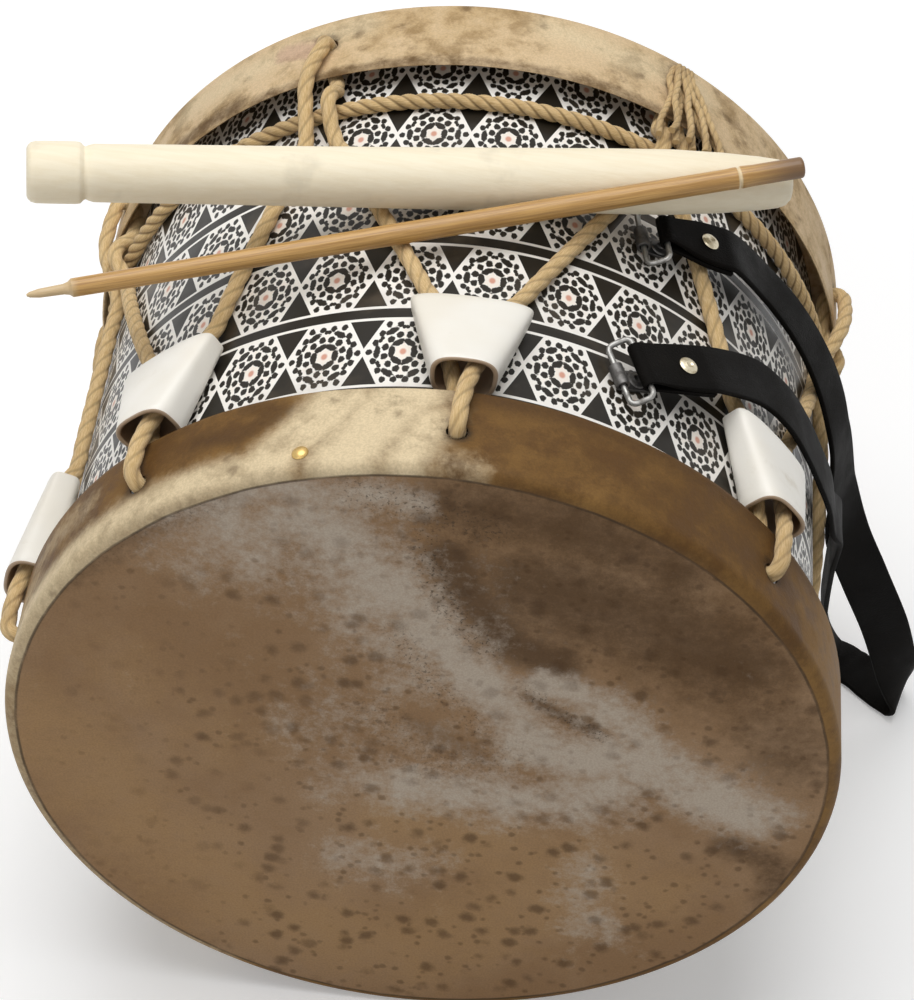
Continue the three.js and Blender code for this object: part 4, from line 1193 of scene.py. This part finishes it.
def rounded_corners(half_width, half_height, corner, steps=4):
    """Points of a rectangle's outline with round corners, extra points along its long sides."""
    points = []
    for sx, sy, start in ((1, 1, 0), (-1, 1, 90), (-1, -1, 180), (1, -1, 270)):
        for degrees in np.linspace(start, start + 90, steps):
            turn = math.radians(degrees)
            points.append((
                sx * (half_width - corner) + corner * math.cos(turn),
                sy * (half_height - corner) + corner * math.sin(turn)))
        if sx == sy:
            for share in (0.3, 0.0, -0.3):
                points.append((2 * sx * share * half_width, sy * half_height))
    return np.array(points)


def add_strap():
    look = leather_look()

    def across(angle, turn):
        return around(angle, math.sin(math.radians(turn)), math.cos(math.radians(turn)))

    def on_drum(stop):
        degrees, y, lift, turn = stop
        angle = math.radians(degrees)
        return around(angle, strap_layer_r + lift * MM, y * MM), across(angle, turn)

    def hanging(stop):
        out, y, up, turn = stop
        return np.array((COLLAR_R + out * MM, y * MM, cad_floor + up * MM)), across(math.pi / 2, turn)

    stops = [
        *end_stops("front"), *map(on_drum, STRAP_ON_DRUM_FRONT), *map(hanging, STRAP_HANGING),
        *map(on_drum, STRAP_ON_DRUM_REAR), *end_stops("rear")[::-1],
    ]
    line, guides = smooth([point for point, _ in stops], STRAP_STEP, [guide for _, guide in stops])
    way = ways(line)
    corners = rounded_corners(STRAP_WIDTH / 2, STRAP / 2, STRAP_CORNER)
    rings = np.array([strap_section(*each, corners) for each in zip(line, way, guides)])
    front = int(STRAP_ENDS["front"]["split"] / STRAP_STEP)
    rear = len(line) - int(STRAP_ENDS["rear"]["split"] / STRAP_STEP)
    spans = {"front": (0, front), "middle": (front, rear), "rear": (rear, len(line) - 1)}
    for name, (start, end) in spans.items():
        piece = skinned(f"strap_{name}", rings[start:end + 1], crease=50)
        piece.data.materials.append(look)
        if name == "middle":
            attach(piece, "drum")
        else:
            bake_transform(piece)
        declared(piece, "black_leather", "shoulder_strap")


def dome(radius, base, height, degrees):
    """(radius, height) points of a domed head."""
    return [(radius * math.cos(turn), base + height * math.sin(turn)) for turn in np.radians(degrees)]


def rivet_profile(low, high):
    """A rivet whose upper head is domed, with a sunk middle."""
    upper = dome(RIVET_HEAD_R, high, RIVET_HEAD, (0, 20, 40, 60))
    dimple = ((0.0021, 1), (0.0016, 0.8), (0.0012, 0.55), (AXIS_R, 0.5))
    sunk = [(radius, high + RIVET_HEAD * share) for radius, share in dimple]
    under = dome(RIVET_HEAD_R, low, -RIVET_HEAD, (75, 50, 25, 0))
    return [(AXIS_R, low - RIVET_HEAD), *under, (RIVET_R, low), (RIVET_R, high), *upper, *sunk]


def add_fittings():
    steel = metal_look("steel")
    iron = metal_look("plate_steel")
    brass = metal_look("rivet_brass")
    half = STRAP + LAP_GAP / 2 + CLEAR
    for which in STRAP_ENDS:
        anchor, end = strap_end(which)
        place = end @ Matrix.Translation((RIVET_AT, 0, 0))
        rivet = lathed(f"{which}_rivet", rivet_profile(-half, half), place)
        finished(rivet, f"{which}_strap_end", brass, "brass", f"{which}_strap_rivet")
        deep = -SHELL_WALL - WRAP - CLEAR - RIVET_SEAT
        place = anchor @ Matrix.Translation((anchor_rivet_at, 0, 0))
        rivet = lathed(f"{which}_plate_rivet", rivet_profile(deep, ANCHOR + CLEAR), place)
        finished(rivet, "drum", iron, "steel", f"{which}_anchor_rivet")
        refine(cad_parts[f"{which}_ring"], 2, steel)
        refine(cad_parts[f"{which}_anchor"], 0, iron)
    add_tack()


def refine(node, levels, look):
    """Rounds a solid of the frame with modifiers alone."""
    node.data.materials.clear()
    node.data.materials.append(look)
    weld = node.modifiers.new("weld", "WELD")
    weld.merge_threshold = WELD
    if levels:
        node.modifiers.new("round", "SUBSURF").levels = levels
        node.modifiers["round"].render_levels = levels
    else:
        bevel = node.modifiers.new("edges", "BEVEL")
        bevel.width = PLATE_BEVEL
        bevel.segments = 3
        bevel.limit_method = "ANGLE"
    node.data.polygons.foreach_set("use_smooth", np.ones(len(node.data.polygons), bool))


def add_tack():
    seat = COLLAR_R + CLEAR
    foot = seat - TACK_LENGTH
    head = dome(TACK_HEAD_R, seat, TACK_HEAD, (0, 20, 40, 60, 80))
    profile = [(AXIS_R, foot), (PIN_R, foot + 2 * PIN_R), (PIN_R, seat), *head, (AXIS_R, seat + TACK_HEAD)]
    tack_y = hoop_face + HOOP_DEPTH / 2
    place = Matrix.Translation((0, tack_y, 0)) @ Matrix.Rotation(TACK_ANGLE, 4, "Y")
    return finished(lathed("tack", profile, place), "drum", metal_look("tack_brass"), "brass", "collar_tack")


# Sticks
def stick_place(node):
    """A stick's own frame, with Z along it from its left end."""
    points = points_of(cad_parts[node])
    middle = points.mean(axis=0)
    way = np.linalg.svd(points - middle, full_matrices=False)[2][0]
    way = way * np.sign(way[0])
    start = middle + way * ((points - middle) @ way).min()
    turn = Vector((0, 0, 1)).rotation_difference(Vector(way))
    return Matrix.Translation(start) @ turn.to_matrix().to_4x4()


def even_profile(stops, step):
    """Radii along a stick from given (along, radius) stops."""
    along, radii = zip(*stops)
    places = np.unique(np.concatenate([np.arange(along[0], along[-1], step), along]))
    return [(radius, place) for radius, place in zip(np.interp(places, along, radii), places)]


def add_beater():
    look = wood_look("beater_wood", *BEATER_WOOD, (0.06, 1, 1), 30.0, 0.5)
    stops = [
        (0, KNOB_R - 0.0035), (0.0006, KNOB_R - 0.0022), (0.002, KNOB_R - 0.0008), (0.0045, KNOB_R - 0.0001),
        (0.012, KNOB_R), (0.0235, KNOB_R), (0.026, KNOB_R - 0.0003),
        (0.0275, NECK_R - 0.0009), (0.0285, NECK_R - 0.0014), (0.030, NECK_R - 0.0007), (0.0325, NECK_R),
        (0.120, NECK_R + 0.0004), (0.210, NECK_R + 0.0012),
        (0.290, BELLY_R), (0.320, BELLY_R), (0.345, BELLY_R - 0.0012),
        (0.365, END_R + 0.0008), (0.374, END_R - 0.0004), (0.378, END_R - 0.0018),
        (BEATER_LENGTH, END_R - 0.004),
    ]
    piece = lathed("beater_stick", even_profile(stops, STICK_STEP), stick_place("beater"), 64, 55)
    return finished(piece, "beater", look, "pale_wood", "beater")


def add_cane():
    whole = CANE_TIP + CANE_LENGTH
    stops = [
        (0, 0.0006), (0.0015, 0.0014), (0.006, CANE_TIP_R - 0.0004),
        (CANE_TIP - 0.004, CANE_TIP_R), (CANE_TIP - 0.0015, CANE_TIP_R + 0.0007),
        (CANE_TIP, CANE_THIN_R), (0.10, CANE_THIN_R + 0.0002), (0.18, CANE_THICK_R),
        (NODE_AT - 0.006, CANE_THICK_R), (NODE_AT - 0.001, CANE_THICK_R + 0.0002),
        (NODE_AT, CANE_THICK_R - 0.0003), (NODE_AT + 0.0015, CANE_THICK_R + 0.0003),
        (NODE_AT + 0.008, CANE_THICK_R), (whole - 0.001, CANE_THICK_R),
        (whole - 0.0003, CANE_THICK_R - 0.0004), (whole, CANE_THICK_R - 0.001),
    ]
    piece = lathed("cane_stick", even_profile(stops, STICK_STEP), stick_place("cane"), 40, 40)
    return finished(piece, "cane", cane_look(), "cane_skin", "cane")


# Stage
def add_camera():
    back = Vector((
        math.sin(CAMERA_AZIMUTH) * math.cos(CAMERA_ELEVATION),
        -math.cos(CAMERA_AZIMUTH) * math.cos(CAMERA_ELEVATION), math.sin(CAMERA_ELEVATION)))
    level = Vector((math.cos(CAMERA_AZIMUTH), math.sin(CAMERA_AZIMUTH), 0))
    upward = back.cross(level)
    right = level * math.cos(CAMERA_ROLL) + upward * math.sin(CAMERA_ROLL)
    up = upward * math.cos(CAMERA_ROLL) - level * math.sin(CAMERA_ROLL)
    data = bpy.data.cameras.new("camera")
    data.sensor_width = SENSOR
    data.lens = FOCAL / PHOTO_HEIGHT * data.sensor_width
    data.shift_x = (PHOTO_MIDDLE[0] - MIDDLE[0]) / PHOTO_HEIGHT
    data.shift_y = (MIDDLE[1] - PHOTO_MIDDLE[1]) / PHOTO_HEIGHT
    camera = linked("camera", data)
    camera.matrix_world = basis(right, up, back, CAMERA_AIM + back * CAMERA_DISTANCE)
    bpy.context.scene.camera = camera


def seen_directly(tree):
    """A socket that is 1 for rays from the camera and rays off or through glossy things, else 0."""
    rays = tree.nodes.new("ShaderNodeLightPath")
    seen = rays.outputs["Is Camera Ray"]
    for kind in ("Is Glossy Ray", "Is Transmission Ray"):
        either = tree.nodes.new("ShaderNodeMath")
        either.operation = "MAXIMUM"
        tree.links.new(seen, either.inputs[0])
        tree.links.new(rays.outputs[kind], either.inputs[1])
        seen = either.outputs[0]
    return seen


def add_floor():
    corners = [(x * FLOOR_HALF, y * FLOOR_HALF, FLOOR_Z) for x, y in ((-1, -1), (1, -1), (1, 1), (-1, 1))]
    floor = new_piece("floor", corners, [(0, 1, 2, 3)])
    look = Look("floor_paper", Specular_IOR_Level=0.1, Emission_Color=(1, 1, 1, 1))
    glow = look.ramp(look.length(look.place()), FLOOR_NEAR, FLOOR_FAR, FLOOR_GLOW, FAR_GLOW)
    glow = glow * Value(look, seen_directly(look.material.node_tree))
    look.put(look.shader.inputs["Emission Strength"], glow)
    floor.data.materials.append(look.made(FLOOR_TONE, 0.9))


def add_light(name, place, aim, size, power):
    data = bpy.data.lights.new(name, "AREA")
    data.shape = "DISK"
    data.size = size
    data.energy = power
    lamp = linked(name, data)
    lamp.location = place
    lamp.rotation_euler = (Vector(aim) - Vector(place)).to_track_quat("-Z", "Y").to_euler()


def add_world():
    world = bpy.data.worlds.new("studio")
    world.use_nodes = True
    tree = world.node_tree
    background = tree.nodes["Background"]
    strength = tree.nodes.new("ShaderNodeMapRange")
    strength.inputs["To Min"].default_value = FILL
    strength.inputs["To Max"].default_value = 1.0
    tree.links.new(seen_directly(tree), strength.inputs["Value"])
    background.inputs["Color"].default_value = (1, 1, 1, 1)
    tree.links.new(strength.outputs[0], background.inputs["Strength"])
    bpy.context.scene.world = world


add_camera()
dress_inside(wood_look("shell_wood", *SHELL_WOOD, (1, 0.08, 1), 20.0))
add_sheet()
front_hide = rawhide_look("front_rawhide", (HIDE_BROWN, HIDE_WARM), (HIDE_OCHRE, HIDE_GOLD))
rear_hide = rawhide_look("rear_rawhide", (HIDE_WARM, HIDE_BROWN), (HIDE_PALE, HIDE_FAWN))
front = add_head("front_skin", "front_head", False, FRONT_COLLAR, TUNER_ANGLES, 2.0, front_hide)
paint_head(front, TUNER_ANGLES, HOLE_INSET, [0, 2], FRONT_FACE, 1.0, FRONT_SIDE, (0.52, 0.42))
rear = add_head("rear_skin", "rear_head", True, REAR_COLLAR, WRAP_ANGLES, 5.0, rear_hide)
paint_head(rear, WRAP_ANGLES, DEPTH - HOLE_INSET, [2, 0], REAR_FACE, 0.75, REAR_SIDE, (0.3, 0.3))
add_ropes()
add_tassel()
add_sleeves()
add_strap()
add_fittings()
add_beater()
add_cane()
add_floor()
add_world()
for name, light in LIGHTS.items():
    add_light(name, **light)
bpy.context.scene.view_settings.view_transform = "Standard"
